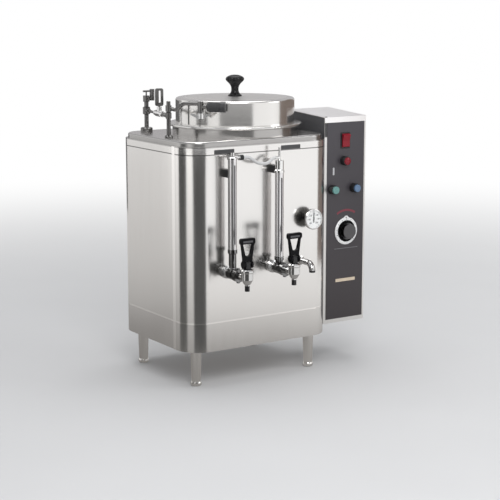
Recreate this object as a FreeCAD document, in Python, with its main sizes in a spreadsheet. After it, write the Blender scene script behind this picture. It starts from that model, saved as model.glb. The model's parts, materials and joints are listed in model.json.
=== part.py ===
"""Coffee urn on four legs, with two taps, sight gauges and a control case on its right side.

The frame is in millimetres: +X runs to the control case, -Y to the taps and +Z up. The origin is
on the surface that the legs stand on, below the middle of the whole urn's box.
"""
import FreeCAD, Part
import math
import os
import Sketcher

Vector = FreeCAD.Vector
Rotation = FreeCAD.Rotation

# Driving dimensions, in millimetres and degrees
DIMENSIONS = {
    "body_wide": 460,
    "body_deep": 382,
    "body_corner": 64,
    "sheet_gauge": 1.5,
    "seam_gap": 0.8,
    "lap": 9,
    "body_low": 100,
    "skirt_top": 177,
    "wrap_top": 621,
    "rim_top": 641,
    "deck_top": 655,
    "deck_inset": 7,
    "deck_edge": 5,
    "leg_inset": 47,
    "leg_top_radius": 15,
    "leg_ankle_radius": 12.6,
    "vessel_x": 34,
    "jacket_radius": 172,
    "jacket_low": 150,
    "liner_radius": 158,
    "liner_low": 300,
    "flange_radius": 184,
    "flange_low": 676,
    "flange_top": 684,
    "basket_radius": 140,
    "basket_deep": 92,
    "lid_radius": 163,
    "lid_shoulder": 751,
    "lid_top": 754,
    "lid_edge": 6,
    "knob_head_radius": 25,
    "knob_neck_radius": 10,
    "knob_top": 812,
    "case_wide": 142,
    "case_deep": 177,
    "case_setback": 41,
    "case_low": 115,
    "case_front_top": 696,
    "case_back_top": 707,
    "case_lip": 15,
    "panel_wide": 127.5,
    "panel_low": 126,
    "panel_left": 9,
    "panel_gauge": 1,
    "rocker_x": 70.5,
    "rocker_z": 630,
    "lens_x": 66.5,
    "lens_z": 573.5,
    "start_x": 26,
    "stop_x": 100.5,
    "button_z": 495.5,
    "button_radius": 10.5,
    "button_reach": 23,
    "dial_x": 76,
    "dial_z": 375,
    "skirt_radius": 38.5,
    "dial_knob_radius": 24.5,
    "tap_z": 310,
    "tap_reach": 100,
    "tap_radius": 17,
    "tap_pivot": 36,
    "tap_handle_height": 69,
    "tap_handle_wide": 45,
    "tap_handle_waist": 27,
    "tap_handle_thick": 8,
    "left_tap_x": -116,
    "right_tap_x": 31,
    "gauge_reach": 30,
    "shield_radius": 11.5,
    "glass_radius": 5,
    "left_collar_top": 375,
    "left_shield_top": 610,
    "right_collar_top": 342,
    "right_shield_top": 567,
    "left_bracket_z": 572,
    "right_bracket_z": 574,
    "vent_z": 606,
    "vent_radius": 4.2,
    "thermometer_x": 146,
    "thermometer_z": 431,
    "thermometer_radius": 28,
    "thermometer_reach": 31,
    "spout_x": 120,
    "spout_z": 317,
    "spout_reach": 58,
    "spout_radius": 8.5,
    "riser_x": -169.5,
    "riser_y": 133,
    "column_x": -200,
    "column_y": -41,
    "link_z": 714,
    "arm_bearing": -42,
    "arm_z": 746,
    "arm_reach": 86,
}

doc = FreeCAD.newDocument("CoffeeUrn")
sheet = doc.addObject("Spreadsheet::Sheet", "Sizes")


class Size:
    """A number together with the spreadsheet formula that it comes from."""

    def __init__(self, value, formula):
        self.value = value
        self.formula = formula

    def __add__(self, other):
        other = as_size(other)
        return Size(self.value + other.value, f"({self.formula} + {other.formula})")

    def __sub__(self, other):
        other = as_size(other)
        return Size(self.value - other.value, f"({self.formula} - {other.formula})")

    def __mul__(self, other):
        other = as_size(other)
        return Size(self.value * other.value, f"({self.formula} * {other.formula})")

    def __truediv__(self, other):
        other = as_size(other)
        return Size(self.value / other.value, f"({self.formula} / {other.formula})")

    def __radd__(self, other):
        return as_size(other) + self

    def __rsub__(self, other):
        return as_size(other) - self

    def __neg__(self):
        return Size(-self.value, f"(0 - {self.formula})")


def as_size(number):
    """Return a Size for a plain number, or the Size itself."""
    if isinstance(number, Size):
        return number
    return Size(float(number), f"{float(number):.6g}")


class Sizes:
    """The sheet's cells as attributes, so that sizes.body_wide is a bound length."""

    def __init__(self, table):
        for row, (alias, value) in enumerate(table.items(), start=1):
            sheet.set(f"A{row}", alias)
            sheet.set(f"B{row}", str(value))
            sheet.setAlias(f"B{row}", alias)
            setattr(self, alias, Size(float(value), f"Sizes.{alias}"))


sizes = Sizes(DIMENSIONS)
doc.recompute()

# Places that follow from the driving dimensions
body_x = -sizes.case_wide / 2
body_y = (sizes.tap_reach + sizes.tap_radius) / 2
front = -sizes.body_deep / 2
back = sizes.body_deep / 2
right = sizes.body_wide / 2
gauge = sizes.sheet_gauge
case_front = front + sizes.case_setback
lid_low = sizes.flange_top

FORWARD = Rotation(Vector(1, 0, 0), 90)
UPRIGHT = Rotation()
pieces = []


def bind(thing, prop, number):
    """Tie a property to a size's formula."""
    thing.setExpression(prop, as_size(number).formula)


def put(thing, at, turn=UPRIGHT, on_body=True):
    """Place a piece at a point given from the middle of the body's footprint."""
    x, y, z = at
    if on_body:
        x = body_x + x
        y = body_y + y
    thing.Placement = FreeCAD.Placement(Vector(0, 0, 0), turn)
    bind(thing, "Placement.Base.x", x)
    bind(thing, "Placement.Base.y", y)
    bind(thing, "Placement.Base.z", z)


def new_body(label, at=(0, 0, 0), turn=UPRIGHT, keep=True):
    """Start the body of one sub-part."""
    body = doc.addObject("PartDesign::Body", label)
    body.Label = label
    put(body, at, turn)
    if keep:
        pieces.append(body)
    return body


def sketch_on(body, role, lift=0):
    """Start a sketch on one of the body's own origin planes, lifted along its normal."""
    sketch = body.newObject("Sketcher::SketchObject", f"{body.Label}_sketch")
    plane = next(item for item in body.Origin.OriginFeatures if item.Role == role)
    sketch.AttachmentSupport = [(plane, "")]
    sketch.MapMode = "FlatFace"
    bind(sketch, "AttachmentOffset.Base.z", lift)
    return sketch


def tie(sketch, kind, *where, to):
    """Add a constraint whose value is a bound size."""
    number = as_size(to)
    index = sketch.addConstraint(Sketcher.Constraint(kind, *where, number.value))
    bind(sketch, f"Constraints[{index}]", number)


def tie_point(sketch, edge, end, x, y):
    """Fix one end of an edge at a bound place in the sketch."""
    for kind, number, axis in (("DistanceX", x, -2), ("DistanceY", y, -1)):
        if abs(as_size(number).value) < 1e-9:
            sketch.addConstraint(Sketcher.Constraint("PointOnObject", edge, end, axis))
        else:
            tie(sketch, kind, -1, 1, edge, end, to=number)


def bend(x, y, radius, side):
    """An outline point reached by an arc; side is +1 where the arc turns left, -1 right."""
    return (x, y, radius, side)


def dome(radius, rise):
    """Return the sphere radius of a cap from its own radius and rise."""
    radius = as_size(radius)
    rise = as_size(rise)
    return (radius * radius + rise * rise) / (rise * 2)


def arc_middle(start, end, radius, side):
    """Return the middle of the shorter arc between two points."""
    chord = end - start
    half = chord.Length / 2
    rise = radius - math.sqrt(max(radius * radius - half * half, 0))
    sideways = Vector(chord.y, -chord.x, 0).normalize() * side
    return start + chord * 0.5 + sideways * rise


def draw_loop(sketch, points):
    """Draw a closed outline through bound points, with lines and arcs."""
    ends = [Vector(as_size(p[0]).value, as_size(p[1]).value, 0) for p in points]
    first = sketch.GeometryCount
    count = len(points)
    for index in range(count):
        target = points[(index + 1) % count]
        start = ends[index]
        end = ends[(index + 1) % count]
        if len(target) == 4:
            radius = as_size(target[2]).value
            middle = arc_middle(start, end, radius, target[3])
            sketch.addGeometry(Part.Arc(start, middle, end))
        else:
            sketch.addGeometry(Part.LineSegment(start, end))
    # An arc is stored anticlockwise, so a right-hand turn starts at its second end
    heads = []
    for index in range(count):
        target = points[(index + 1) % count]
        turned_right = len(target) == 4 and target[3] < 0
        heads.append((2, 1) if turned_right else (1, 2))
    for index in range(count):
        following = (index + 1) % count
        sketch.addConstraint(Sketcher.Constraint(
            "Coincident", first + index, heads[index][1], first + following, heads[following][0]))
    for index, point in enumerate(points):
        tie_point(sketch, first + index, heads[index][0], point[0], point[1])
        target = points[(index + 1) % count]
        if len(target) == 4:
            tie(sketch, "Radius", first + index, to=target[2])


def draw_circle(sketch, x, y, radius):
    """Draw a bound circle."""
    centre = Vector(as_size(x).value, as_size(y).value, 0)
    edge = sketch.addGeometry(Part.Circle(centre, Vector(0, 0, 1), as_size(radius).value))
    tie_point(sketch, edge, 3, x, y)
    tie(sketch, "Radius", edge, to=radius)


def rounded_outline(wide, deep, corner, x=0, y=0):
    """Return the outline of a rectangle with round corners about a point."""
    high_x = x + as_size(wide) / 2
    low_x = x - as_size(wide) / 2
    high_y = y + as_size(deep) / 2
    low_y = y - as_size(deep) / 2
    corner = as_size(corner)
    return [
        (high_x - corner, low_y),
        bend(high_x, low_y + corner, corner, 1),
        (high_x, high_y - corner),
        bend(high_x - corner, high_y, corner, 1),
        (low_x + corner, high_y),
        bend(low_x, high_y - corner, corner, 1),
        (low_x, low_y + corner),
        bend(low_x + corner, low_y, corner, 1),
    ]


def box_outline(low_x, low_y, high_x, high_y):
    """Return the outline of a plain rectangle."""
    return [(low_x, low_y), (high_x, low_y), (high_x, high_y), (low_x, high_y)]


def pad(body, sketch, length, both_ways=False, back_way=False):
    """Raise a sketch into a solid."""
    feature = body.newObject("PartDesign::Pad", f"{body.Label}_pad")
    feature.Profile = sketch
    feature.Midplane = both_ways
    feature.Reversed = back_way
    bind(feature, "Length", length)
    body.Tip = feature
    return feature


def pocket(body, sketch, length, both_ways=False, back_way=False):
    """Cut a sketch into the solid, and check that it took something away."""
    doc.recompute()
    before = body.Shape.Volume
    feature = body.newObject("PartDesign::Pocket", f"{body.Label}_pocket")
    feature.Profile = sketch
    feature.Midplane = both_ways
    feature.Reversed = back_way
    bind(feature, "Length", length)
    body.Tip = feature
    doc.recompute()
    if body.Shape.Volume > before - 1e-3:
        raise RuntimeError(f"{body.Label}: a pocket cuts nothing")
    return feature


def revolve(body, points, role="XZ_Plane", axis="V_Axis", lift=0):
    """Turn an outline about the sketch's own axis."""
    sketch = sketch_on(body, role, lift)
    draw_loop(sketch, points)
    feature = body.newObject("PartDesign::Revolution", f"{body.Label}_turn")
    feature.Profile = sketch
    feature.ReferenceAxis = (sketch, [axis])
    feature.Angle = 360
    body.Tip = feature
    return feature


def groove(body, points, role="XZ_Plane", axis="V_Axis", lift=0):
    """Cut a turned hollow, and check that it took something away."""
    doc.recompute()
    before = body.Shape.Volume
    sketch = sketch_on(body, role, lift)
    draw_loop(sketch, points)
    feature = body.newObject("PartDesign::Groove", f"{body.Label}_groove")
    feature.Profile = sketch
    feature.ReferenceAxis = (sketch, [axis])
    feature.Angle = 360
    body.Tip = feature
    doc.recompute()
    if body.Shape.Volume > before - 1e-3:
        raise RuntimeError(f"{body.Label}: a groove cuts nothing")
    return feature


def turned(label, points, at=(0, 0, 0), turn=UPRIGHT, keep=True):
    """Make a turned piece about its own Z axis from (radius, height) points."""
    body = new_body(label, at, turn, keep)
    revolve(body, points)
    return body


def block(body, low, high):
    """Add a box between two corners of the body's own frame."""
    sketch = sketch_on(body, "XY_Plane", low[2])
    draw_loop(sketch, box_outline(low[0], low[1], high[0], high[1]))
    return pad(body, sketch, as_size(high[2]) - low[2])


def fillet(body, radius, chosen):
    """Round the edges that a test picks."""
    doc.recompute()
    tip = body.Tip
    names = [f"Edge{i}" for i, edge in enumerate(tip.Shape.Edges, start=1) if chosen(edge)]
    feature = body.newObject("PartDesign::Fillet", f"{body.Label}_fillet")
    feature.Base = (tip, names)
    bind(feature, "Radius", radius)
    body.Tip = feature
    return feature


def at_height(height):
    """Return a test for level edges at a height of the body's own frame."""
    level = as_size(height).value

    def chosen(edge):
        box = edge.BoundBox
        return abs(box.ZMin - level) < 1e-3 and abs(box.ZMax - level) < 1e-3
    return chosen


def draw_path(sketch, points, radius):
    """Draw an open path of straight runs joined by tangent arcs."""
    corners = [Vector(as_size(x).value, as_size(y).value, 0) for x, y in points]
    radii = [radius] * len(corners) if not isinstance(radius, list) else radius
    start = corners[0]
    for index in range(1, len(corners) - 1):
        corner = corners[index]
        inward = (corners[index - 1] - corner).normalize()
        outward = (corners[index + 1] - corner).normalize()
        half_turn = (math.pi - inward.getAngle(outward)) / 2
        reach = radii[index] * math.tan(half_turn)
        arc_start = corner + inward * reach
        arc_end = corner + outward * reach
        bisector = (inward + outward).normalize()
        crown = corner + bisector * (radii[index] / math.cos(half_turn) - radii[index])
        sketch.addGeometry(Part.LineSegment(start, arc_start))
        sketch.addGeometry(Part.Arc(arc_start, crown, arc_end))
        start = arc_end
    sketch.addGeometry(Part.LineSegment(start, corners[-1]))
    sketch.addConstraint([Sketcher.Constraint("Block", i) for i in range(sketch.GeometryCount)])


def pipe(body, role, points, radius, outer, inner, lift=0):
    """Sweep a round tube along a path; the path's first run leaves along the plane's own x."""
    path = sketch_on(body, role, lift)
    draw_path(path, points, radius)
    start_x, start_y = points[0]
    ring = sketch_on(body, "YZ_Plane" if role == "XZ_Plane" else "XZ_Plane",
                     start_x if role == "XZ_Plane" else -as_size(start_x))
    across = -as_size(lift) if role == "XZ_Plane" else as_size(lift)
    draw_circle(ring, across, start_y, outer)
    if inner:
        draw_circle(ring, across, start_y, inner)
    feature = body.newObject("PartDesign::AdditivePipe", f"{body.Label}_pipe")
    feature.Profile = ring
    feature.Spine = (path, [f"Edge{i + 1}" for i in range(path.GeometryCount)])
    body.Tip = feature
    return feature


def group(label, members):
    """Keep several identical fasteners or fittings as one node of separate solids."""
    compound = doc.addObject("Part::Compound", label)
    compound.Label = label
    compound.Links = members
    pieces.append(compound)
    return compound


def draw_ring(body, inset_out, inset_in, low, high):
    """Add a sheet that follows the body's rounded outline between two insets."""
    sketch = sketch_on(body, "XY_Plane", low)
    for inset in (inset_out, inset_in):
        inset = as_size(inset)
        draw_loop(sketch, rounded_outline(sizes.body_wide - inset * 2, sizes.body_deep - inset * 2,
                                          sizes.body_corner - inset))
    return pad(body, sketch, as_size(high) - low)


# Legs and base
def make_legs():
    """Four tapered legs, each with a beaded foot and a threaded stud."""
    stud_top = sizes.body_low + 14
    profile = [
        (0, 0),
        (10.5, 0),
        bend(sizes.leg_ankle_radius, 13, 8.8, 1),
        (sizes.leg_top_radius, sizes.body_low),
        (5, sizes.body_low),
        (5, stud_top),
        (0, stud_top),
    ]
    inset_x = right - sizes.leg_inset
    inset_y = back - sizes.leg_inset
    for depth_name, depth in (("front", -inset_y), ("back", inset_y)):
        for side_name, side in (("left", -inset_x), ("right", inset_x)):
            turned(f"leg_{depth_name}_{side_name}", profile, at=(side, depth, 0))


def make_base():
    """The floor pan, drilled for the leg studs, and the skirt round it."""
    pan = new_body("base_pan", at=(0, 0, sizes.body_low))
    sketch = sketch_on(pan, "XY_Plane")
    draw_loop(sketch, rounded_outline(sizes.body_wide - gauge * 2, sizes.body_deep - gauge * 2,
                                      sizes.body_corner - gauge))
    for side in (-1, 1):
        for depth in (-1, 1):
            draw_circle(sketch, (right - sizes.leg_inset) * side, (back - sizes.leg_inset) * depth, 5)
    pad(pan, sketch, 3)

    skirt = new_body("base_skirt")
    draw_ring(skirt, 0, gauge, sizes.body_low, sizes.skirt_top - sizes.seam_gap)
    draw_ring(skirt, gauge, gauge * 2, sizes.skirt_top - sizes.lap, sizes.skirt_top + sizes.lap)


# Body sheets
def make_wrap():
    """The wrap round the vessels, pierced for the taps, spout and thermometer."""
    wrap = new_body("body_wrap")
    draw_ring(wrap, 0, gauge, sizes.skirt_top, sizes.wrap_top - sizes.seam_gap)
    holes = sketch_on(wrap, "XZ_Plane", back + 4)
    for x in (sizes.left_tap_x, sizes.right_tap_x):
        draw_circle(holes, x, sizes.tap_z, 10)
    draw_circle(holes, sizes.spout_x, sizes.spout_z, sizes.spout_radius)
    draw_circle(holes, sizes.thermometer_x, sizes.thermometer_z, 3.2)
    pocket(wrap, holes, 10)


def make_deck():
    """The rim band, and the raised pan that the vessels hang through."""
    rim = new_body("deck_rim")
    draw_ring(rim, 0, gauge, sizes.wrap_top, sizes.rim_top)
    draw_ring(rim, gauge, gauge * 2, sizes.wrap_top - sizes.lap, sizes.wrap_top + sizes.lap)
    draw_ring(rim, gauge, sizes.deck_inset + gauge, sizes.rim_top - gauge, sizes.rim_top)

    pan = new_body("deck_pan", at=(0, 0, sizes.rim_top))
    rise = sizes.deck_top - sizes.rim_top
    outer = sketch_on(pan, "XY_Plane")
    wide = sizes.body_wide - sizes.deck_inset * 2
    deep = sizes.body_deep - sizes.deck_inset * 2
    corner = sizes.body_corner - sizes.deck_inset
    draw_loop(outer, rounded_outline(wide, deep, corner))
    pad(pan, outer, rise)
    fillet(pan, sizes.deck_edge, at_height(rise))
    hollow = sketch_on(pan, "XY_Plane")
    draw_loop(hollow, rounded_outline(wide - gauge * 2, deep - gauge * 2, corner - gauge))
    pocket(pan, hollow, rise - gauge, back_way=True)
    mouth = sketch_on(pan, "XY_Plane", rise)
    draw_circle(mouth, sizes.vessel_x, 0, sizes.jacket_radius)
    pocket(pan, mouth, rise)


# Vessels
def make_vessels():
    """The water jacket, the coffee liner that hangs in it, the brew basket and the heater."""
    wall = sizes.jacket_radius - gauge
    turned("water_jacket", [
        (0, sizes.jacket_low),
        (sizes.jacket_radius, sizes.jacket_low),
        (sizes.jacket_radius, sizes.flange_low),
        (wall, sizes.flange_low),
        (wall, sizes.jacket_low + gauge),
        (0, sizes.jacket_low + gauge),
    ], at=(sizes.vessel_x, 0, 0))

    inside = sizes.liner_radius - gauge
    roll = (sizes.flange_top - sizes.flange_low) / 2
    turned("coffee_liner", [
        (0, sizes.liner_low),
        (sizes.liner_radius, sizes.liner_low),
        (sizes.liner_radius, sizes.flange_low),
        (sizes.flange_radius - roll, sizes.flange_low),
        bend(sizes.flange_radius, sizes.flange_low + roll, roll, 1),
        bend(sizes.flange_radius - roll, sizes.flange_top, roll, 1),
        (inside, sizes.flange_top),
        (inside, sizes.liner_low + gauge),
        (0, sizes.liner_low + gauge),
    ], at=(sizes.vessel_x, 0, 0))

    basket = turned("brew_basket", [
        (0, -sizes.basket_deep),
        (sizes.basket_radius - 8, -sizes.basket_deep),
        (sizes.basket_radius, 0),
        (sizes.liner_radius + 1, 0),
        (sizes.liner_radius + 1, gauge),
        (sizes.basket_radius - gauge, gauge),
        (sizes.basket_radius - 8 - gauge, gauge - sizes.basket_deep),
        (0, gauge - sizes.basket_deep),
    ], at=(sizes.vessel_x, 0, sizes.flange_top))
    drain = sketch_on(basket, "XY_Plane", gauge * 2 - sizes.basket_deep)
    for ring in range(1, 5):
        for step in range(ring * 6):
            angle = 2 * math.pi * step / (ring * 6)
            draw_circle(drain, ring * 26 * math.cos(angle), ring * 26 * math.sin(angle), 3)
    pocket(basket, drain, gauge * 3)

    ring = doc.addObject("Part::Torus", "heater_ring")
    bind(ring, "Radius1", 112)
    bind(ring, "Radius2", 4.2)
    put(ring, (sizes.vessel_x, 0, sizes.jacket_low + 34))
    posts = []
    for side in (-1, 1):
        post = doc.addObject("Part::Cylinder", "heater_post")
        bind(post, "Radius", 4.2)
        bind(post, "Height", 34 - gauge)
        put(post, (sizes.vessel_x + side * 112, 0, sizes.jacket_low + gauge))
        posts.append(post)
    heater = doc.addObject("Part::MultiFuse", "heating_element")
    heater.Label = "heating_element"
    heater.Shapes = [ring] + posts
    pieces.append(heater)


# Lid
def make_lid():
    """The crowned lid shell and its mushroom knob."""
    outer = sizes.lid_radius
    edge = sizes.lid_edge
    crown = dome(outer - edge, sizes.lid_top - sizes.lid_shoulder)
    turned("lid_shell", [
        (0, sizes.lid_top - gauge),
        bend(outer - edge, sizes.lid_shoulder - gauge, crown, -1),
        bend(outer - gauge, sizes.lid_shoulder - edge, edge - gauge, -1),
        (outer - gauge, lid_low),
        (outer, lid_low),
        (outer, sizes.lid_shoulder - edge),
        bend(outer - edge, sizes.lid_shoulder, edge, 1),
        bend(0, sizes.lid_top, crown, 1),
    ], at=(sizes.vessel_x, 0, 0))

    head = sizes.knob_head_radius
    neck = sizes.knob_neck_radius
    top = sizes.knob_top - sizes.lid_top
    turned("lid_knob", [
        (0, 0),
        (19, 0),
        (18.5, 2.5),
        bend(neck, 17, 20, -1),
        (neck + 0.8, 26),
        bend(head, top - 15, 30, -1),
        bend(head - 1.5, top - 9, 4, 1),
        bend(0, top, dome(head - 1.5, 9), 1),
    ], at=(sizes.vessel_x, 0, sizes.lid_top))


# Taps and gauges
def make_shank(side, x, collar_top):
    """A shank through the wrap, with the collar that seats the sight glass."""
    shank = new_body(f"shank_{side}", at=(x, front, sizes.tap_z))
    end = 38 - sizes.tap_reach
    reach = sizes.gauge_reach
    revolve(shank, [
        (17, 5.5),
        (17, 10),
        (0, 10),
        (0, 17),
        (-4, 17),
        (-7, 12),
        (13 - reach, 12),
        (11 - reach, 15),
        (-11 - reach, 15),
        (-13 - reach, 10),
        (end, 10),
        (end, 5.5),
    ], role="YZ_Plane", axis="H_Axis")
    rise = collar_top - sizes.tap_z
    revolve(shank, [
        (0, 6),
        (13, 6),
        (13, 15),
        (10, 17),
        (10, rise - 12),
        (12.5, rise - 10),
        (12.5, rise),
        (0, rise),
    ], lift=reach)
    groove(shank, [
        (0, 16),
        (sizes.glass_radius, 16),
        (sizes.glass_radius, rise + 1),
        (0, rise + 1),
    ], lift=reach)


def make_nuts():
    """The two winged ring nuts that hold the taps on their shanks."""
    nuts = []
    for side, x in (("left", sizes.left_tap_x), ("right", sizes.right_tap_x)):
        nut = new_body(f"nut_{side}", at=(x, front - 50, sizes.tap_z), turn=FORWARD, keep=False)
        ring = sketch_on(nut, "XY_Plane")
        draw_circle(ring, 0, 0, 17)
        draw_circle(ring, 0, 0, 10)
        pad(nut, ring, 14)
        for wing in (-1, 1):
            lug = sketch_on(nut, "XY_Plane", 3)
            draw_loop(lug, box_outline(-3, 14 if wing > 0 else -20, 3, 20 if wing > 0 else -14))
            pad(nut, lug, 8)
        nuts.append(nut)
    group("coupling_nuts", nuts)


def make_tap(side, x):
    """A tap body with its chamber and lug, the handle on it and the stem inside."""
    place = (x, front - sizes.tap_reach, sizes.tap_z)
    pivot = sizes.tap_pivot
    tap = new_body(f"faucet_body_{side}", at=place)
    revolve(tap, [
        (0, -34),
        (6.5, -34),
        (6.5, -17),
        (9, -15),
        (15.5, -4),
        (15.5, 14),
        (sizes.tap_radius, 16),
        (sizes.tap_radius, 21),
        (14, 24),
        (0, 24),
    ])
    revolve(tap, [(8, 0), (8, 10), (38, 10), (38, 0)], role="YZ_Plane", axis="H_Axis")
    block(tap, (-7, -6, 22), (7, 6, pivot + 5))
    groove(tap, [(0, -10), (11, -10), (11, 18), (0, 18)])
    groove(tap, [(0, -35), (4.2, -35), (4.2, -9), (0, -9)])
    groove(tap, [(0, 17), (2.56, 17), (2.56, pivot - 5), (0, pivot - 5)])
    groove(tap, [(5, 0), (5, 5.5), (39, 5.5), (39, 0)], role="YZ_Plane", axis="H_Axis")
    eye = sketch_on(tap, "YZ_Plane")
    draw_circle(eye, 0, pivot, 2.56)
    pocket(tap, eye, 40, both_ways=True)

    handle = new_body(f"faucet_handle_{side}", at=(x, front - sizes.tap_reach, sizes.tap_z + pivot))
    waist = sizes.tap_handle_waist / 2
    wide = sizes.tap_handle_wide / 2
    height = sizes.tap_handle_height
    outline = sketch_on(handle, "XZ_Plane")
    draw_loop(outline, [
        (-waist, 0),
        (waist, 0),
        (waist, 14),
        (wide - 4, height - 17),
        (wide, height - 12),
        (wide, height - 5),
        bend(wide - 5, height, 5, 1),
        (5 - wide, height),
        bend(-wide, height - 5, 5, 1),
        (-wide, height - 12),
        (4 - wide, height - 17),
        (-waist, 14),
    ])
    draw_loop(outline, [
        (-8, 27),
        bend(8, 27, 9, 1),
        (wide - 7.5, height - 15),
        (7.5 - wide, height - 15),
    ])
    pad(handle, outline, sizes.tap_handle_thick, both_ways=True)
    barrel = sketch_on(handle, "YZ_Plane")
    draw_circle(barrel, 0, 0, 10)
    pad(handle, barrel, sizes.tap_handle_waist, both_ways=True)
    slot = sketch_on(handle, "YZ_Plane")
    draw_loop(slot, box_outline(-12, -12, 12, 10.5))
    pocket(handle, slot, 16, both_ways=True)
    pin = sketch_on(handle, "YZ_Plane")
    draw_circle(pin, 0, 0, 2.5)
    pad(handle, pin, sizes.tap_handle_waist, both_ways=True)

    turned(f"faucet_stem_{side}", [
        (0, -9.7),
        (8, -9.7),
        (8, -4),
        (2.5, -2),
        (2.5, 26),
        (0, 26),
    ], at=place)


def make_gauges():
    """The sight glasses, their slotted shields, caps, brackets and the vent tube."""
    glasses = []
    gauges = (
        ("left", sizes.left_tap_x, sizes.left_collar_top, sizes.left_shield_top,
         sizes.left_bracket_z, 11.5),
        ("right", sizes.right_tap_x, sizes.right_collar_top, sizes.right_shield_top,
         sizes.right_bracket_z, 13.5),
    )
    gauge_y = front - sizes.gauge_reach
    brackets = []
    for side, x, low, high, level, clear_radius in gauges:
        glasses.append(turned(f"glass_{side}", [
            (sizes.glass_radius - 1.4, sizes.tap_z + 18),
            (sizes.glass_radius, sizes.tap_z + 18),
            (sizes.glass_radius, high + 8),
            (sizes.glass_radius - 1.4, high + 8),
        ], at=(x, gauge_y, 0), keep=False))
        shield = turned(f"gauge_shield_{side}", [
            (sizes.shield_radius - 1, 0),
            (sizes.shield_radius, 0),
            (sizes.shield_radius, high - low),
            (sizes.shield_radius - 1, high - low),
        ], at=(x, gauge_y, low))
        slot = sketch_on(shield, "XZ_Plane", sizes.shield_radius + 1)
        draw_loop(slot, box_outline(-2, 14, 2, high - low - 14))
        pocket(shield, slot, 6)
        bracket = new_body(f"bracket_{side}", at=(x, front, level), keep=False)
        block(bracket, (-8, -sizes.gauge_reach, -10), (8, 0, 10))
        clear = sketch_on(bracket, "XY_Plane", -11)
        draw_circle(clear, 0, -sizes.gauge_reach, clear_radius)
        pocket(bracket, clear, 22, back_way=True)
        brackets.append(bracket)
    group("gauge_glasses", glasses)
    group("gauge_brackets", brackets)

    cap = turned("gauge_cap_left", [
        (sizes.glass_radius, 0),
        (13, 0),
        (13, 5),
        (10.5, 7),
        (6, 9),
        (6, 18),
        (0, 18),
        (0, 12),
        (sizes.glass_radius, 12),
    ], at=(sizes.left_tap_x, gauge_y, sizes.left_shield_top))
    nozzle = sizes.vent_z + 8 - sizes.left_shield_top
    revolve(cap, [(5.5, 0), (5.5, 4), (20, 4), (20, 7), (32, 7), (32, 0)],
            role="XY_Plane", axis="H_Axis", lift=nozzle)

    cap = turned("gauge_cap_right", [
        (sizes.glass_radius, 0),
        (13.5, 0),
        (13.5, 6),
        (11.5, 8),
        (11.5, 32),
        (3, 34),
        (3, 66),
        (0, 66),
        (0, 12),
        (sizes.glass_radius, 12),
    ], at=(sizes.right_tap_x, gauge_y, sizes.right_shield_top))
    revolve(cap, [(-2, 0), (-2, 4.4), (-12, 4.4), (-12, 0)],
            role="XY_Plane", axis="H_Axis", lift=sizes.vent_z - sizes.right_shield_top)

    vent = new_body("vent_tube", at=(0, gauge_y, 0))
    start = sizes.left_tap_x + 32
    end = sizes.right_tap_x - 12
    level = sizes.vent_z + 8
    route = [
        (start, level),
        (start + 18, level),
        (start + 48, level - 19),
        (end - 26, level - 22),
        (end - 8, level - 8),
        (end, level - 8),
    ]
    pipe(vent, "XZ_Plane", route, [0, 30, 40, 24, 12, 0], sizes.vent_radius, sizes.vent_radius - 1.4)


# Thermometer and spout
def make_thermometer():
    """The dial thermometer: its case and stem, its lens and its pointer."""
    place = (sizes.thermometer_x, front, sizes.thermometer_z)
    rim = sizes.thermometer_radius
    reach = sizes.thermometer_reach
    case = turned("thermometer_case", [
        (0, -14),
        (3.2, -14),
        (3.2, 0),
        (9, 0),
        (9, 6),
        (6, 7),
        (6, 15),
        (rim - 5, 17),
        (rim, 22),
        (rim, reach - 2),
        bend(rim - 3, reach, 3, 1),
        (rim - 3, reach - 4),
        (0, reach - 4),
    ], at=place, turn=FORWARD)
    groove(case, [(0, reach - 7), (1.55, reach - 7), (1.55, reach - 3), (0, reach - 3)])
    turned("thermometer_lens", [
        (0, reach - 1.6),
        (rim - 3, reach - 1.6),
        (rim - 3, reach - 0.2),
        (0, reach - 0.2),
    ], at=place, turn=FORWARD)
    pointer = new_body("thermometer_pointer", at=place, turn=FORWARD)
    hand = sketch_on(pointer, "XY_Plane", reach - 3.4)
    draw_loop(hand, [(-1.2, -9), (1.2, -9), (2.2, 0), (0.5, 20), (-0.5, 20), (-2.2, 0)])
    pad(pointer, hand, 0.8)
    shaft = sketch_on(pointer, "XY_Plane", reach - 6.8)
    draw_circle(shaft, 0, 0, 1.5)
    pad(pointer, shaft, 4)


def make_spout():
    """The bent hot water spout, with its wall flange."""
    spout = turned("hot_water_spout", [
        (sizes.spout_radius - 1, 0),
        (13, 0),
        (13, 3),
        (sizes.spout_radius - 1, 5),
    ], at=(sizes.spout_x, front, sizes.spout_z), turn=FORWARD)
    drop = 24
    path = sketch_on(spout, "YZ_Plane")
    draw_path(path, [(0, -12), (0, sizes.spout_reach), (-drop, sizes.spout_reach)], 22)
    ring = sketch_on(spout, "XY_Plane", -12)
    draw_circle(ring, 0, 0, sizes.spout_radius)
    draw_circle(ring, 0, 0, sizes.spout_radius - 1)
    feature = spout.newObject("PartDesign::AdditivePipe", "spout_pipe")
    feature.Profile = ring
    feature.Spine = (path, ["Edge1", "Edge2", "Edge3"])
    spout.Tip = feature


# Control case
def draw_panel_holes(sketch):
    """Draw the openings that the front plate and its overlay share."""
    draw_loop(sketch, rounded_outline(28, 42, 2, sizes.rocker_x, sizes.rocker_z))
    draw_circle(sketch, sizes.lens_x, sizes.lens_z, 8)
    for x in (sizes.start_x, sizes.stop_x):
        draw_circle(sketch, x, sizes.button_z, 8)
    draw_circle(sketch, sizes.dial_x, sizes.dial_z, 4)


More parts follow.
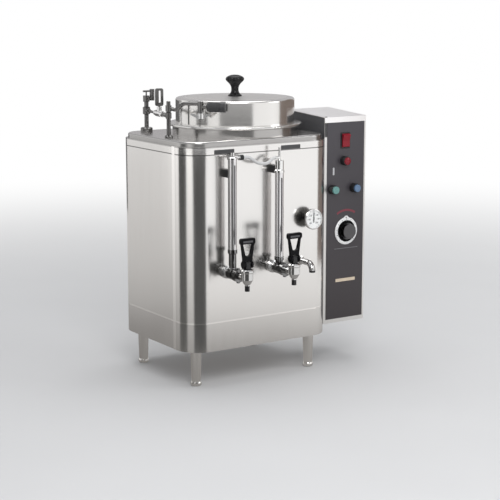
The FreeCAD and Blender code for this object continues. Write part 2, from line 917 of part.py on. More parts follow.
def make_case():
    """The folded case, its lipped top, the front plate and the overlay."""
    corner = (right, case_front, 0)
    low = sizes.case_low
    deep = sizes.case_deep
    case = new_body("control_case", at=corner)
    side = sketch_on(case, "YZ_Plane")
    draw_loop(side, [
        (gauge, low),
        (deep, low),
        (deep, sizes.case_back_top - gauge),
        (gauge, sizes.case_front_top - gauge),
    ])
    pad(case, side, sizes.case_wide)
    inside = sketch_on(case, "YZ_Plane", gauge)
    draw_loop(inside, box_outline(-4, low + gauge, deep - gauge, sizes.case_back_top + 10))
    pocket(case, inside, sizes.case_wide - gauge * 2, back_way=True)
    holes = sketch_on(case, "XZ_Plane", -deep - 1)
    draw_circle(holes, 38, low + 35, 8)
    draw_circle(holes, 104, low + 35, 8)
    for x in (8, sizes.case_wide - 8):
        for z in (low + 80, sizes.case_back_top - 40):
            draw_circle(holes, x, z, 2)
    pocket(case, holes, 4, back_way=True)

    top = new_body("control_top", at=corner)
    fold = sketch_on(top, "YZ_Plane")
    draw_loop(fold, [
        (-gauge, sizes.case_front_top - sizes.case_lip),
        (0, sizes.case_front_top - sizes.case_lip),
        (0, sizes.case_front_top - gauge),
        (deep, sizes.case_back_top - gauge),
        (deep, sizes.case_back_top),
        (-gauge, sizes.case_front_top),
    ])
    pad(top, fold, sizes.case_wide)

    plate = new_body("control_front", at=corner)
    face = sketch_on(plate, "XZ_Plane")
    draw_loop(face, box_outline(0, low, sizes.case_wide, sizes.case_front_top - gauge))
    draw_panel_holes(face)
    pad(plate, face, gauge, back_way=True)

    panel = new_body("control_overlay", at=corner)
    face = sketch_on(panel, "XZ_Plane")
    high = sizes.case_front_top - sizes.case_lip
    draw_loop(face, box_outline(sizes.panel_left, sizes.panel_low,
                                sizes.panel_left + sizes.panel_wide, high))
    draw_panel_holes(face)
    pad(panel, face, sizes.panel_gauge)


def make_switch():
    """The power switch: its housing through the panel and the rocker on its pins."""
    place = (right + sizes.rocker_x, case_front, sizes.rocker_z)
    housing = new_body("switch_housing", at=place)
    bezel = sketch_on(housing, "XZ_Plane", sizes.panel_gauge)
    draw_loop(bezel, rounded_outline(31, 45, 3))
    pad(housing, bezel, 2)
    shell = sketch_on(housing, "XZ_Plane", sizes.panel_gauge)
    draw_loop(shell, rounded_outline(28, 42, 2))
    pad(housing, shell, 22, back_way=True)
    well = sketch_on(housing, "XZ_Plane", 4)
    draw_loop(well, box_outline(-12.3, -19.3, 12.3, 19.3))
    pocket(housing, well, 21)
    pivot = sketch_on(housing, "YZ_Plane")
    draw_circle(pivot, 1.5, 0, 1.55)
    pocket(housing, pivot, 27, both_ways=True)

    tilt = Rotation(Vector(1, 0, 0), 7)
    rocker = new_body("rocker", at=(place[0], case_front + 1.5, place[2]), turn=tilt)
    profile = sketch_on(rocker, "YZ_Plane")
    draw_loop(profile, [
        (-7.5, 0),
        (-10, -16.16),
        bend(5, -18.33, 19, 1),
        (5, 18.33),
        bend(-10, 16.16, 19, 1),
    ])
    pad(rocker, profile, 24, both_ways=True)
    pins = sketch_on(rocker, "YZ_Plane")
    draw_circle(pins, 0, 0, 1.5)
    pad(rocker, pins, 26.6, both_ways=True)


def make_controls():
    """The pilot lens, the two push buttons, their barrels and the thermostat dial."""
    reach = sizes.button_reach
    radius = sizes.button_radius
    barrels = []
    for side, x, z in (
        ("start", sizes.start_x, sizes.button_z),
        ("stop", sizes.stop_x, sizes.button_z),
        ("pilot", sizes.lens_x, sizes.lens_z),
    ):
        place = (right + x, case_front, z)
        barrels.append(turned(f"barrel_{side}", [
            (3.05, -14),
            (8, -14),
            (8, sizes.panel_gauge),
            (13, sizes.panel_gauge),
            (13, reach - 8),
            (12, reach - 5),
            (radius + 0.3, reach - 5),
            (radius + 0.3, 4),
            (3.05, 4),
        ], at=place, turn=FORWARD, keep=False))
        if side == "pilot":
            turned("pilot_lens", [
                (0, 4),
                (radius + 0.3, 4),
                (radius + 0.3, reach - 5),
                (radius - 0.4, reach - 5),
                (radius - 0.8, reach - 3),
                bend(0, reach - 1, dome(radius - 0.8, 2), 1),
            ], at=place, turn=FORWARD)
            continue
        turned(f"{side}_button", [
            (0, -12),
            (3, -12),
            (3, reach - 14),
            (radius, reach - 14),
            (radius, reach - 1.5),
            bend(radius - 1.5, reach, 1.5, 1),
            (0, reach),
        ], at=place, turn=FORWARD)
    group("button_barrels", barrels)

    place = (right + sizes.dial_x, case_front, sizes.dial_z)
    rim = sizes.skirt_radius
    band = rim - 8
    skirt = turned("thermostat_skirt", [
        (band, 1.4),
        (rim, 1.4),
        (rim, 2.6),
        (rim - 2, 4.4),
        (band, 4.4),
    ], at=place, turn=FORWARD)
    ear = sketch_on(skirt, "XY_Plane", 1.4)
    draw_loop(ear, [(-13, rim - 5), (13, rim - 5), (3, rim + 4.5), (-3, rim + 4.5)])
    pad(skirt, ear, 2)
    eye = sketch_on(skirt, "XY_Plane", 1)
    draw_circle(eye, 0, rim - 0.5, 2.2)
    pocket(skirt, eye, 4, back_way=True)

    knob = turned("thermostat_knob", [
        (0, -20),
        (3.95, -20),
        (3.95, 1.4),
        (band, 1.4),
        (band, 3.6),
        (sizes.dial_knob_radius, 4.4),
        (sizes.dial_knob_radius, 7),
        (sizes.dial_knob_radius - 3, 19),
        bend(sizes.dial_knob_radius - 5, 21, 2.1, 1),
        (0, 21),
    ], at=place, turn=FORWARD)
    flutes = sketch_on(knob, "XY_Plane", 8)
    for step in range(12):
        angle = math.radians(15 + 30 * step)
        draw_circle(flutes, sizes.dial_knob_radius * math.cos(angle) * 1.08,
                    sizes.dial_knob_radius * math.sin(angle) * 1.08, 3.4)
    pocket(knob, flutes, 20, back_way=True)


def make_fittings():
    """The pump inside the case, and the inlet, gland and screws on its back."""
    case_back = case_front + sizes.case_deep
    turned("pump_motor", [
        (0, 0),
        (36, 0),
        (36, 4),
        (30, 4),
        (30, 92),
        (12, 92),
        (12, 112),
        (0, 112),
    ], at=(right + 70, case_back - 60, sizes.case_low + gauge))
    back_way = Rotation(Vector(1, 0, 0), -90)
    turned("water_inlet", [
        (5, -12),
        (8, -12),
        (8, 0),
        (13, 0),
        (13, 8),
        (9.5, 8),
        (9.5, 22),
        (5, 22),
    ], at=(right + 38, case_back, sizes.case_low + 35), turn=back_way)
    turned("cord_gland", [
        (4.5, -12),
        (8, -12),
        (8, 0),
        (12, 0),
        (12, 6),
        (9, 9),
        (7, 22),
        (4.5, 22),
    ], at=(right + 104, case_back, sizes.case_low + 35), turn=back_way)
    screws = []
    for x in (8, sizes.case_wide - 8):
        for z in (sizes.case_low + 80, sizes.case_back_top - 40):
            screw = turned("case_screw", [
                (0, -7),
                (2, -7),
                (2, 0),
                (3.8, 0),
                bend(0, 2.4, dome(3.8, 2.4), 1),
            ], at=(right + x, case_back, z), turn=back_way, keep=False)
            screws.append(screw)
    group("cover_screws", screws)


# Pipework on the deck
def make_riser():
    """The riser with its two side branches, and the key that turns in its head."""
    base = sizes.deck_top
    place = (sizes.riser_x, sizes.riser_y, base)
    level = sizes.link_z - base
    riser = turned("riser_pipe", [
        (0, 0),
        (16.5, 0),
        (16.5, 11),
        (14, 13),
        (6, 13),
        (6, level - 11),
        (10, level - 9),
        (10, level + 9),
        (6, level + 11),
        (6, 82),
        (9, 84),
        (9, 100),
        (0, 100),
    ], at=place)
    revolve(riser, [(3, 0), (3, 3.6), (16, 3.6), (16, 0)], role="XY_Plane", axis="H_Axis", lift=92)
    cap = sketch_on(riser, "XY_Plane", 86)
    draw_circle(cap, 18, 0, 6.5)
    pad(riser, cap, 31)
    groove(riser, [(0, 88), (2.05, 88), (2.05, 101), (0, 101)])
    handle = turned("tee_handle", [(0, 89), (2, 89), (2, 112), (0, 112)], at=place)
    bar = sketch_on(handle, "YZ_Plane")
    draw_circle(bar, 0, 112, 2.6)
    pad(handle, bar, 19, both_ways=True)


def make_link():
    """The pipe from the riser to the swivel column, and the lever valve on it."""
    run_x = sizes.column_x - sizes.riser_x
    run_y = sizes.column_y - sizes.riser_y
    run = math.hypot(run_x.value, run_y.value)
    bearing = math.degrees(math.atan2(run_y.value, run_x.value))
    place = (sizes.riser_x, sizes.riser_y, sizes.link_z)
    turn = Rotation(Vector(0, 0, 1), bearing)
    valve_at = 105
    link = new_body("link_pipe", at=place, turn=turn)
    revolve(link, [
        (10, 0),
        (10, 7),
        (20, 7),
        (20, 3.5),
        (run - 20, 3.5),
        (run - 20, 6.5),
        (run - 8, 6.5),
        (run - 8, 0),
    ], role="XZ_Plane", axis="H_Axis")

    valve = new_body("valve_body", at=place, turn=turn)
    revolve(valve, [
        (74, 3.5),
        (74, 7),
        (82, 7),
        (85, 8.5),
        (125, 8.5),
        (128, 7),
        (138, 7),
        (138, 3.5),
    ], role="XZ_Plane", axis="H_Axis")
    bonnet = sketch_on(valve, "XY_Plane", 6)
    draw_circle(bonnet, valve_at, 0, 6.5)
    pad(valve, bonnet, 12)
    seat = sketch_on(valve, "XY_Plane", 19)
    draw_circle(seat, valve_at, 0, 3.05)
    pocket(valve, seat, 12)

    lever = new_body("valve_lever", at=place, turn=turn)
    plate = sketch_on(lever, "YZ_Plane", valve_at)
    draw_loop(plate, rounded_outline(22, 47, 5, 0, 43.5))
    draw_loop(plate, rounded_outline(7, 33, 2.5, 1.5, 45))
    pad(lever, plate, 6, both_ways=True)
    stem = sketch_on(lever, "XY_Plane", 10)
    draw_circle(stem, valve_at, 0, 3)
    pad(lever, stem, 12)


def make_arm():
    """The swivel column, the spray arm on it, its hose coupling and the wing nut."""
    base = sizes.deck_top
    turned("swivel_column", [
        (0, 0),
        (11, 0),
        (11, 5),
        (6, 8),
        (5.5, 26),
        (5.5, 50),
        (8, 52),
        (8, 66),
        (6, 69),
        (4, 69.5),
        (4, 86.5),
        (5.5, 86.5),
        (5.5, 95),
        bend(4, 97, 2.2, 1),
        (0, 97),
    ], at=(sizes.column_x, sizes.column_y, base))

    place = (sizes.column_x, sizes.column_y, 0)
    turn = Rotation(Vector(0, 0, 1), sizes.arm_bearing.value)
    arm = turned("spray_arm", [
        (4.05, base + 70),
        (8, base + 70),
        (8, base + 86),
        (4.05, base + 86),
    ], at=place, turn=turn)
    reach = sizes.arm_reach
    high = sizes.arm_z
    path = sketch_on(arm, "XZ_Plane")
    draw_path(path, [(7, high - 13), (20, high - 18), (40, high), (reach, high)],
              [0, 12, 20, 0])
    ring = sketch_on(arm, "YZ_Plane", 7)
    draw_circle(ring, 0, high - 13, 5.5)
    feature = arm.newObject("PartDesign::AdditivePipe", "arm_pipe")
    feature.Profile = ring
    feature.Spine = (path, [f"Edge{i + 1}" for i in range(path.GeometryCount)])
    arm.Tip = feature
    rod = sketch_on(arm, "XY_Plane", high - 55)
    draw_circle(rod, 54, 0, 2)
    pad(arm, rod, 52)
    barrel = sketch_on(arm, "XY_Plane", high - 23)
    draw_circle(barrel, reach, 0, 8)
    pad(arm, barrel, 29)
    revolve(arm, [(reach, 0), (reach, 6), (reach + 17, 6), (reach + 17, 0)],
            role="XY_Plane", axis="H_Axis", lift=high - 8)
    stud = sketch_on(arm, "XY_Plane", high - 41)
    draw_circle(stud, reach, 0, 4)
    pad(arm, stud, 20)

    coupling = new_body("arm_coupling", at=place, turn=turn)
    revolve(coupling, [
        (reach + 17, 0),
        (reach + 17, 10),
        (reach + 19, 12.5),
        (reach + 52, 12.5),
        (reach + 53, 14),
        (reach + 66, 14),
        (reach + 66, 0),
    ], role="XY_Plane", axis="H_Axis", lift=high - 8)

    bearing = math.radians(sizes.arm_bearing.value)
    nut = new_body("wing_nut", at=(place[0] + reach * math.cos(bearing),
                                   place[1] + reach * math.sin(bearing), high - 33), turn=turn)
    wings = sketch_on(nut, "XZ_Plane")
    draw_loop(wings, [
        (-8, -6),
        (8, -6),
        (27, 4),
        bend(24, 8, 3, 1),
        (8, 4),
        (-8, 4),
        (-24, 8),
        bend(-27, 4, 3, 1),
    ])
    pad(nut, wings, 4, both_ways=True)
    hub = sketch_on(nut, "XY_Plane", -6)
    draw_circle(hub, 0, 0, 8)
    pad(nut, hub, 14)
    hole = sketch_on(nut, "XY_Plane", 10)
    draw_circle(hole, 0, 0, 4.05)
    pocket(nut, hole, 20)


make_legs()
make_base()
make_wrap()
make_deck()
make_vessels()
make_lid()
make_shank("left", sizes.left_tap_x, sizes.left_collar_top)
make_shank("right", sizes.right_tap_x, sizes.right_collar_top)
make_nuts()
make_tap("left", sizes.left_tap_x)
make_tap("right", sizes.right_tap_x)
make_gauges()
make_thermometer()
make_spout()
make_case()
make_switch()
make_controls()
make_fittings()
make_riser()
make_link()
make_arm()

doc.recompute()

# Checks before anything is written
for thing in doc.Objects:
    if "Invalid" in thing.State or "Error" in thing.State:
        raise RuntimeError(f"{thing.Label} failed: {thing.State}")
for piece in pieces:
    if piece.Shape.isNull() or not piece.Shape.isValid():
        raise RuntimeError(f"{piece.Label} has no valid shape")

os.makedirs("parts", exist_ok=True)
for piece in pieces:
    piece.Shape.exportStep(f"parts/{piece.Label}.step")
print(f"{len(pieces)} nodes written")
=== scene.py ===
"""Looks of the coffee urn: its finishes, its small trim, and the studio that shows it."""
from __future__ import annotations

import json
import logging
import math
from dataclasses import dataclass, field
from enum import Enum

import bmesh
import bpy
from bpy.types import ColorRamp, Material, Mesh, NodeSocket, NodeTree, Object
from mathutils import Matrix, Vector

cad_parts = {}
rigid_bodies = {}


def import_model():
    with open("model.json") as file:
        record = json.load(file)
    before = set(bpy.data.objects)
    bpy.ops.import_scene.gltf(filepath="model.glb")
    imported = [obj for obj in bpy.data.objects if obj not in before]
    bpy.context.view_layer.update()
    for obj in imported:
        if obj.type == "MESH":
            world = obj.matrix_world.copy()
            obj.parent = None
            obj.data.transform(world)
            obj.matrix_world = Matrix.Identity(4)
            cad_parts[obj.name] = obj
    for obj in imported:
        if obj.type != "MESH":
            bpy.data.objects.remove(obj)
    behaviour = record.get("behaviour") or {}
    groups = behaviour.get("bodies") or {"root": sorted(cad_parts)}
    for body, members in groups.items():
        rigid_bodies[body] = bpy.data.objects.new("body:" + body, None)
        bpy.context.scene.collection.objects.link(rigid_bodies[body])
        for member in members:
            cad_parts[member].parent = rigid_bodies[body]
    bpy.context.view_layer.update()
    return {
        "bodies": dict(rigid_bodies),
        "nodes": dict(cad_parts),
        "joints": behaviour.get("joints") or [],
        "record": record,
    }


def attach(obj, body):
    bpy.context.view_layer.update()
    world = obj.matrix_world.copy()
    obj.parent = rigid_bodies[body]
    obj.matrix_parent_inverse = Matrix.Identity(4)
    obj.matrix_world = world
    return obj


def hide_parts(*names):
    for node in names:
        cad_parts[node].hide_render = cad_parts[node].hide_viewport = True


LOG = logging.getLogger("urn")
MM = 0.001
Colour = tuple[float, float, float]
Point = tuple[float, float, float]
Pair = tuple[float, float]
Outline = list[Pair]
WHITE: Colour = (1.0, 1.0, 1.0)
# Edges that turn less than the first angle are smooth, and more than the second are rounded.
SMOOTH_BELOW = math.radians(35)
BEVEL_ABOVE = 0.4
BEVEL_STEPS = 3
CORNER_STEPS = 4
# The first mark of a dial, in degrees from its right.
MARKS_FROM = 225.0


class Body(Enum):
    """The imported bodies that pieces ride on."""

    URN = "urn"
    LID = "lid"
    ARM = "arm"
    THERMOSTAT = "thermostat"
    TAP_LEFT = "tap_handle_left"
    TAP_RIGHT = "tap_handle_right"


# Each tap's side, the body of its handle, and where it stands along X, in millimetres.
TAPS = (("left", Body.TAP_LEFT, -187.0), ("right", Body.TAP_RIGHT, -40.0))


class Grain(Enum):
    """The way that a metal's brushing runs, as the noise's scale along X, Y and Z."""

    UPRIGHT = (620.0, 620.0, 5.0)
    LEVEL = (7.0, 7.0, 700.0)


class Value:
    """A shader value on which Python's operators build Math nodes."""

    def __init__(self, graph: Tree, socket: NodeSocket | None) -> None:
        """Wrap an output socket of a tree."""
        self.graph = graph
        self.socket = socket

    def _combine(self, operation: str, first: Value | float, second: Value | float) -> Value:
        """Return the result of a Math node on two numbers or values."""
        return self.graph.node("ShaderNodeMath", {"operation": operation}, {0: first, 1: second})

    def __add__(self, other: Value | float) -> Value:
        """Return the sum."""
        return self._combine("ADD", self, other)

    __radd__ = __add__

    def __sub__(self, other: Value | float) -> Value:
        """Return the difference."""
        return self._combine("SUBTRACT", self, other)

    def __rsub__(self, other: float) -> Value:
        """Return a number less this value."""
        return self._combine("SUBTRACT", other, self)

    def __mul__(self, other: Value | float) -> Value:
        """Return the product."""
        return self._combine("MULTIPLY", self, other)

    __rmul__ = __mul__

    def near(self, middle: float, half: float) -> Value:
        """Return one where this value is within half a width of the middle."""
        return self.graph.node("ShaderNodeMath", {"operation": "COMPARE"},
                               {0: self, 1: middle, 2: half})


class Tree:
    """A node tree, built from expressions."""

    def __init__(self, tree: NodeTree) -> None:
        """Wrap the tree that nodes are added to."""
        self.tree = tree

    def node(self, kind: str, settings: dict[str, object], inputs: dict[object, object],
             output: str | int | None = 0) -> Value:
        """Add a node.

        Args:
            kind: The node's type.
            settings: The node's own properties; "stops" fills a colour ramp.
            inputs: Numbers, colours or values by socket name or number.
            output: The output socket to return, or None where there is none.

        Returns:
            The chosen output.
        """
        made = self.tree.nodes.new(kind)
        for key, value in settings.items():
            if key == "stops":
                self._fill_ramp(made.color_ramp, value)
            else:
                setattr(made, key, value)
        for key, value in inputs.items():
            self._feed(made.inputs[key], value)
        return Value(self, None if output is None else made.outputs[output])

    def _fill_ramp(self, ramp: ColorRamp, stops: list[tuple[float, Colour]]) -> None:
        """Set a ramp's stops.

        Args:
            ramp: The ramp to fill.
            stops: Places and colours in order.
        """
        while len(ramp.elements) < len(stops):
            ramp.elements.new(1.0)
        for element, (place, colour) in zip(ramp.elements, stops):
            element.position = place
            element.color = (*colour, 1.0)

    def _feed(self, socket: NodeSocket, value: object) -> None:
        """Link a value to a socket, or set its number.

        Args:
            socket: The input to feed.
            value: A wrapped value, a number or a colour.
        """
        if isinstance(value, Value):
            self.tree.links.new(value.socket, socket)
        elif isinstance(value, tuple) and len(value) == 3 and socket.type == "RGBA":
            socket.default_value = (*value, 1.0)
        else:
            socket.default_value = value


class Graph(Tree):
    """The node tree of one material."""

    def __init__(self, name: str) -> None:
        """Start a material.

        Args:
            name: The material's name.
        """
        self.material = bpy.data.materials.new(name)
        self.material.use_nodes = True
        super().__init__(self.material.node_tree)
        self.shader = self.tree.nodes["Principled BSDF"]

    def surface(self, **inputs: object) -> Material:
        """Feed the main shader.

        Args:
            **inputs: Socket names with underscores for spaces, and what they get.

        Returns:
            The finished material.
        """
        for key, value in inputs.items():
            self._feed(self.shader.inputs[key.replace("_", " ")], value)
        return self.material

    def place(self, scale: Point = (1.0, 1.0, 1.0), shift: Point = (0.0, 0.0, 0.0)) -> Value:
        """Return the object's own coordinates, shifted and then scaled."""
        moved = self.node("ShaderNodeVectorMath", {"operation": "ADD"},
                          {0: self.node("ShaderNodeTexCoord", {}, {}, "Object"), 1: shift})
        return self.node("ShaderNodeVectorMath", {"operation": "MULTIPLY"}, {0: moved, 1: scale})

    def noise(self, scale: float, detail: float, place: Value | None = None) -> Value:
        """Return a noise pattern, on the object's own coordinates unless a place is given."""
        return self.node("ShaderNodeTexNoise", {}, {"Vector": place or self.place(),
                                                    "Scale": scale, "Detail": detail})

    def length(self, place: Value) -> Value:
        """Return how far a place lies from the origin."""
        return self.node("ShaderNodeVectorMath", {"operation": "LENGTH"}, {0: place}, "Value")

    def vary(self, middle: float, *patterns: tuple[Value, float]) -> Value:
        """Let patterns swing a number about its middle.

        Args:
            middle: The number's middle.
            *patterns: Patterns that run from 0 to 1, each with its whole swing.

        Returns:
            The varied number.
        """
        total = middle - sum(swing for _, swing in patterns) / 2
        for pattern, swing in patterns:
            total = pattern * swing + total
        return total

    def glow(self, mask: Value | float, colour: Value | Colour) -> None:
        """Let the surface glow plainly, where a strength of 1 is white.

        Args:
            mask: How much of the glow shows.
            colour: The glow's colour.
        """
        light = self.node("ShaderNodeEmission", {}, {"Color": colour, "Strength": 1.0})
        mixed = self.node("ShaderNodeMixShader", {}, {"Fac": mask, 2: light})
        self.tree.links.new(self.shader.outputs[0], mixed.socket.node.inputs[1])
        self.tree.links.new(mixed.socket, self.tree.nodes["Material Output"].inputs[0])

    def along(self, axis: str) -> Value:
        """Return the object's own coordinate along an axis."""
        return self.node("ShaderNodeSeparateXYZ", {}, {0: self.place()}, axis)

    def rise(self, value: Value, low: float, high: float, **settings: object) -> Value:
        """Return how far a value has come from a low number to a high one."""
        return self.node("ShaderNodeMapRange", settings,
                         {"Value": value, "From Min": low, "From Max": high})

    def blend(self, mask: Value, low: object, high: object) -> Value:
        """Return a colour between two, by a mask."""
        return self.node("ShaderNodeMix", {"data_type": "RGBA"},
                         {"Factor": mask, 6: low, 7: high}, 2)

    def shade(self, mask: Value, colour: Colour, down: float, up: float) -> Value:
        """Return a colour that a mask takes from a part darker to a part lighter."""
        return self.blend(mask, tint(colour, 1 - down), tint(colour, 1 + up))

    def bump(self, height: Value, distance: float) -> Value:
        """Return a normal that a height pattern tilts."""
        return self.node("ShaderNodeBump", {},
                         {"Height": height, "Distance": distance, "Strength": 1.0}, "Normal")


def tint(colour: Colour, factor: float) -> Colour:
    """Return a colour made lighter or darker."""
    return (colour[0] * factor, colour[1] * factor, colour[2] * factor)


@dataclass(frozen=True)
class BrushedMetal:
    """Sheet metal with brushing along one way.

    A painted line is an axis, its middle and half its width along that axis, and its tone's
    factor: below one for painted shade, above one for a painted highlight.
    """

    name: str
    colour: Colour
    roughness: float
    contrast: float = 0.1
    grain: Grain = Grain.UPRIGHT
    depth: float = 0.00002
    shade_and_highlight_lines: tuple[tuple[str, float, float, float], ...] = ()

    def build(self) -> Material:
        """Build the metal, with its painted lines: darker ones of painted shade and lighter ones
        of painted highlight.

        Returns:
            The material.
        """
        graph = Graph(self.name)
        streak = graph.noise(1.0, 3.0, graph.place(self.grain.value))
        cloud = graph.noise(7.0, 3.0)
        colour = graph.shade(streak * 0.75 + cloud * 0.25, self.colour, self.contrast,
                             self.contrast * 0.5)
        # Each line paints shade or a highlight into the colour, along a band of one axis.
        for axis, middle, half, factor in self.shade_and_highlight_lines:
            here = graph.along(axis).near(middle, half)
            colour = graph.blend(here, colour, tint(self.colour, factor))
        return graph.surface(Base_Color=colour, Metallic=1.0,
                             Roughness=graph.vary(self.roughness, (streak, 0.16), (cloud, 0.06)),
                             Normal=graph.bump(streak, self.depth))


@dataclass(frozen=True)
class SpunMetal:
    """Metal with turned rings about an upright axis, and a duller crown darkened as painted shade
    if it has one.
    """

    name: str
    colour: Colour
    roughness: float
    axis: Pair
    crown_from: float = 9.0
    crown_half: float = 0.05
    crown_shade: float = 0.82
    crown_rough: float = 0.2
    rings: float = 900.0

    def build(self) -> Material:
        """Build the metal.

        Returns:
            The material.
        """
        graph = Graph(self.name)
        radius = graph.length(graph.place((1.0, 1.0, 0.0), (-self.axis[0], -self.axis[1], 0.0)))
        height = graph.along("Z")
        line = graph.node("ShaderNodeCombineXYZ", {},
                          {"X": radius * self.rings, "Y": height * self.rings})
        ring = graph.noise(1.0, 2.0, line)
        cloud = graph.noise(9.0, 3.0)
        colour = graph.shade(ring * 0.6 + cloud * 0.4, self.colour, 0.07, 0.03)
        crown = height.near(self.crown_from + self.crown_half, self.crown_half)
        # The crown's darker tone is painted shade.
        colour = graph.blend(crown, colour, tint(self.colour, self.crown_shade))
        roughness = graph.vary(self.roughness, (ring, 0.1), (cloud, 0.06))
        return graph.surface(Base_Color=colour, Metallic=1.0,
                             Roughness=roughness + crown * self.crown_rough,
                             Normal=graph.bump(ring, 0.00001))


@dataclass(frozen=True)
class Plating:
    """Bright plated metal with faint smears, or dark plating whose strong smears are a painted
    reflection.
    """

    name: str
    colour: Colour
    roughness: float = 0.08
    contrast: float = 0.1
    mottle: float = 60.0

    def _smears(self, graph: Graph) -> tuple[Value, Value]:
        """Smear the metal.

        Args:
            graph: The material's tree.

        Returns:
            The smears, and the metal's colour under them.
        """
        smear = graph.noise(self.mottle, 4.0, graph.place((1.0, 1.0, 0.4)))
        return smear, graph.shade(smear, self.colour, self.contrast, self.contrast * 0.4)

    def build(self) -> Material:
        """Build the plating.

        Returns:
            The material.
        """
        graph = Graph(self.name)
        smear, colour = self._smears(graph)
        return graph.surface(Base_Color=colour, Metallic=1.0,
                             Roughness=smear * 0.12 + self.roughness,
                             Normal=graph.bump(smear, 0.00003))


@dataclass(frozen=True)
class BandedPlating(Plating):
    """Plating with bands of another finish along one axis, such as a black tip or collar, or a
    band of painted shade or painted light.
    """

    contrast: float = 0.14
    axis: str = "Z"
    bands: tuple[Pair, ...] = ()
    band_colour: Colour = (0.008, 0.008, 0.009)
    band_metal: float = 0.0
    band_rough: float = 0.12

    def build(self) -> Material:
        """Build the plating and its bands.

        Returns:
            The material.
        """
        graph = Graph(self.name)
        smear, metal = self._smears(graph)
        along = graph.along(self.axis)
        mask = 0.0
        for low, high in self.bands:
            mask = along.near((low + high) / 2, (high - low) / 2) + mask
        return graph.surface(Base_Color=graph.blend(mask, metal, self.band_colour),
                             Metallic=1.0 - mask * (1.0 - self.band_metal),
                             Roughness=smear * 0.12 + self.roughness + mask * self.band_rough,
                             Normal=graph.bump(smear, 0.00003))


@dataclass(frozen=True)
class Moulding:
    """Moulded plastic or rubber with a fine skin."""

    name: str
    colour: Colour
    roughness: float
    coat: float = 0.0
    skin: float = 0.00002
    shine: float = 0.5

    def build(self) -> Material:
        """Build the finish.

        Returns:
            The material.
        """
        graph = Graph(self.name)
        fine = graph.noise(1400.0, 2.0)
        dust = graph.noise(45.0, 4.0)
        colour = graph.shade(dust, self.colour, 0.14, 0.14)
        return graph.surface(Base_Color=colour, Roughness=graph.vary(self.roughness, (dust, 0.14)),
                             Coat_Weight=self.coat, Specular_IOR_Level=self.shine,
                             Normal=graph.bump(fine, self.skin))


@dataclass(frozen=True)
class PanelFilm:
    """A satin film that is a little lighter at the top."""

    name: str
    low: Colour
    high: Colour
    bottom: float
    top: float

    def build(self) -> Material:
        """Build the finish.

        Returns:
            The material.
        """
        graph = Graph(self.name)
        rise = graph.rise(graph.along("Z"), self.bottom, self.top)
        grain = graph.noise(900.0, 2.0)
        colour = graph.blend(rise * 0.85 + grain * 0.15, self.low, self.high)
        return graph.surface(Base_Color=colour, Roughness=grain * 0.12 + 0.32,
                             Normal=graph.bump(grain, 0.00002))


@dataclass(frozen=True)
class ClearGlass:
    """Clear glass, or a thin window that lets light straight through, with faint smears."""

    name: str
    dull: Colour
    clear: Colour
    mottle: float
    roughness: float
    thin: bool = False

    def build(self) -> Material:
        """Build the finish.

        Returns:
            The material.
        """
        graph = Graph(self.name)
        smear = graph.noise(self.mottle, 3.0)
        if self.thin:
            through = {"Alpha": smear * 0.06 + 0.07}
        else:
            through = {"Transmission_Weight": 1.0, "IOR": 1.45}
        return graph.surface(Base_Color=graph.blend(smear, self.dull, self.clear),
                             Roughness=smear * 0.05 + self.roughness, **through)


def link(thing: Object) -> None:
    """Put an object into the scene."""
    bpy.context.scene.collection.objects.link(thing)


def plain_mesh(holder: Object) -> Mesh:
    """Turn an object into a plain mesh, and take it and its modifiers away.

    Args:
        holder: The object, not yet in the scene.

    Returns:
        What it evaluates to.
    """
    link(holder)
    graph = bpy.context.evaluated_depsgraph_get()
    mesh = bpy.data.meshes.new_from_object(holder.evaluated_get(graph))
    holder.modifiers.clear()
    bpy.data.objects.remove(holder)
    return mesh


class RadialCopies:
    """A Geometry Nodes group that sets copies of a shape at even steps round an axis."""

    def __init__(self) -> None:
        """Build the group."""
        self.group = bpy.data.node_groups.new("radial_copies", "GeometryNodeTree")
        face = self.group.interface
        shape = face.new_socket("Shape", in_out="INPUT", socket_type="NodeSocketGeometry")
        self.sockets = {
            name: face.new_socket(name, in_out="INPUT", socket_type=kind).identifier
            for name, kind in (
                ("Count", "NodeSocketInt"), ("Radius", "NodeSocketFloat"),
                ("Start", "NodeSocketFloat"), ("Step", "NodeSocketFloat"),
                ("Finish", "NodeSocketMaterial"),
            )
        }
        face.new_socket("Shape", in_out="OUTPUT", socket_type="NodeSocketGeometry")
        tree = Tree(self.group)
        given = self.group.nodes.new("NodeGroupInput")
        value = {name: Value(tree, given.outputs[name]) for name in (shape.name, *self.sockets)}
        index = tree.node("GeometryNodeInputIndex", {}, {})
        angle = index * value["Step"] + value["Start"]
        across = tree.node("ShaderNodeMath", {"operation": "COSINE"}, {0: angle})
        along = tree.node("ShaderNodeMath", {"operation": "SINE"}, {0: angle})
        place = tree.node("ShaderNodeCombineXYZ", {}, {"X": across * value["Radius"],
                                                       "Y": along * value["Radius"]})
        turn = tree.node("ShaderNodeCombineXYZ", {}, {"Z": angle})
        points = tree.node("GeometryNodePoints", {}, {"Count": value["Count"], "Position": place})
        copies = tree.node("GeometryNodeInstanceOnPoints", {},
                           {"Points": points, "Instance": value["Shape"], "Rotation": turn})
        real = tree.node("GeometryNodeRealizeInstances", {}, {0: copies})
        dressed = tree.node("GeometryNodeSetMaterial", {},
                            {"Geometry": real, "Material": value["Finish"]})
        tree.node("NodeGroupOutput", {}, {0: dressed}, None)

    def make(self, name: str, source: Mesh, frame: Matrix, **inputs: object) -> Mesh:
        """Return the copies as one mesh.

        Args:
            name: The mesh's name.
            source: The shape to copy, with its own X pointing out from the axis.
            frame: Where the axis lies.
            **inputs: The group's named inputs.

        Returns:
            The mesh, in the urn's frame.
        """
        holder = bpy.data.objects.new(name, source)
        modifier = holder.modifiers.new("copies", "NODES")
        modifier.node_group = self.group
        for key, value in inputs.items():
            modifier[self.sockets[key]] = value
        mesh = plain_mesh(holder)
        mesh.transform(frame)
        return mesh


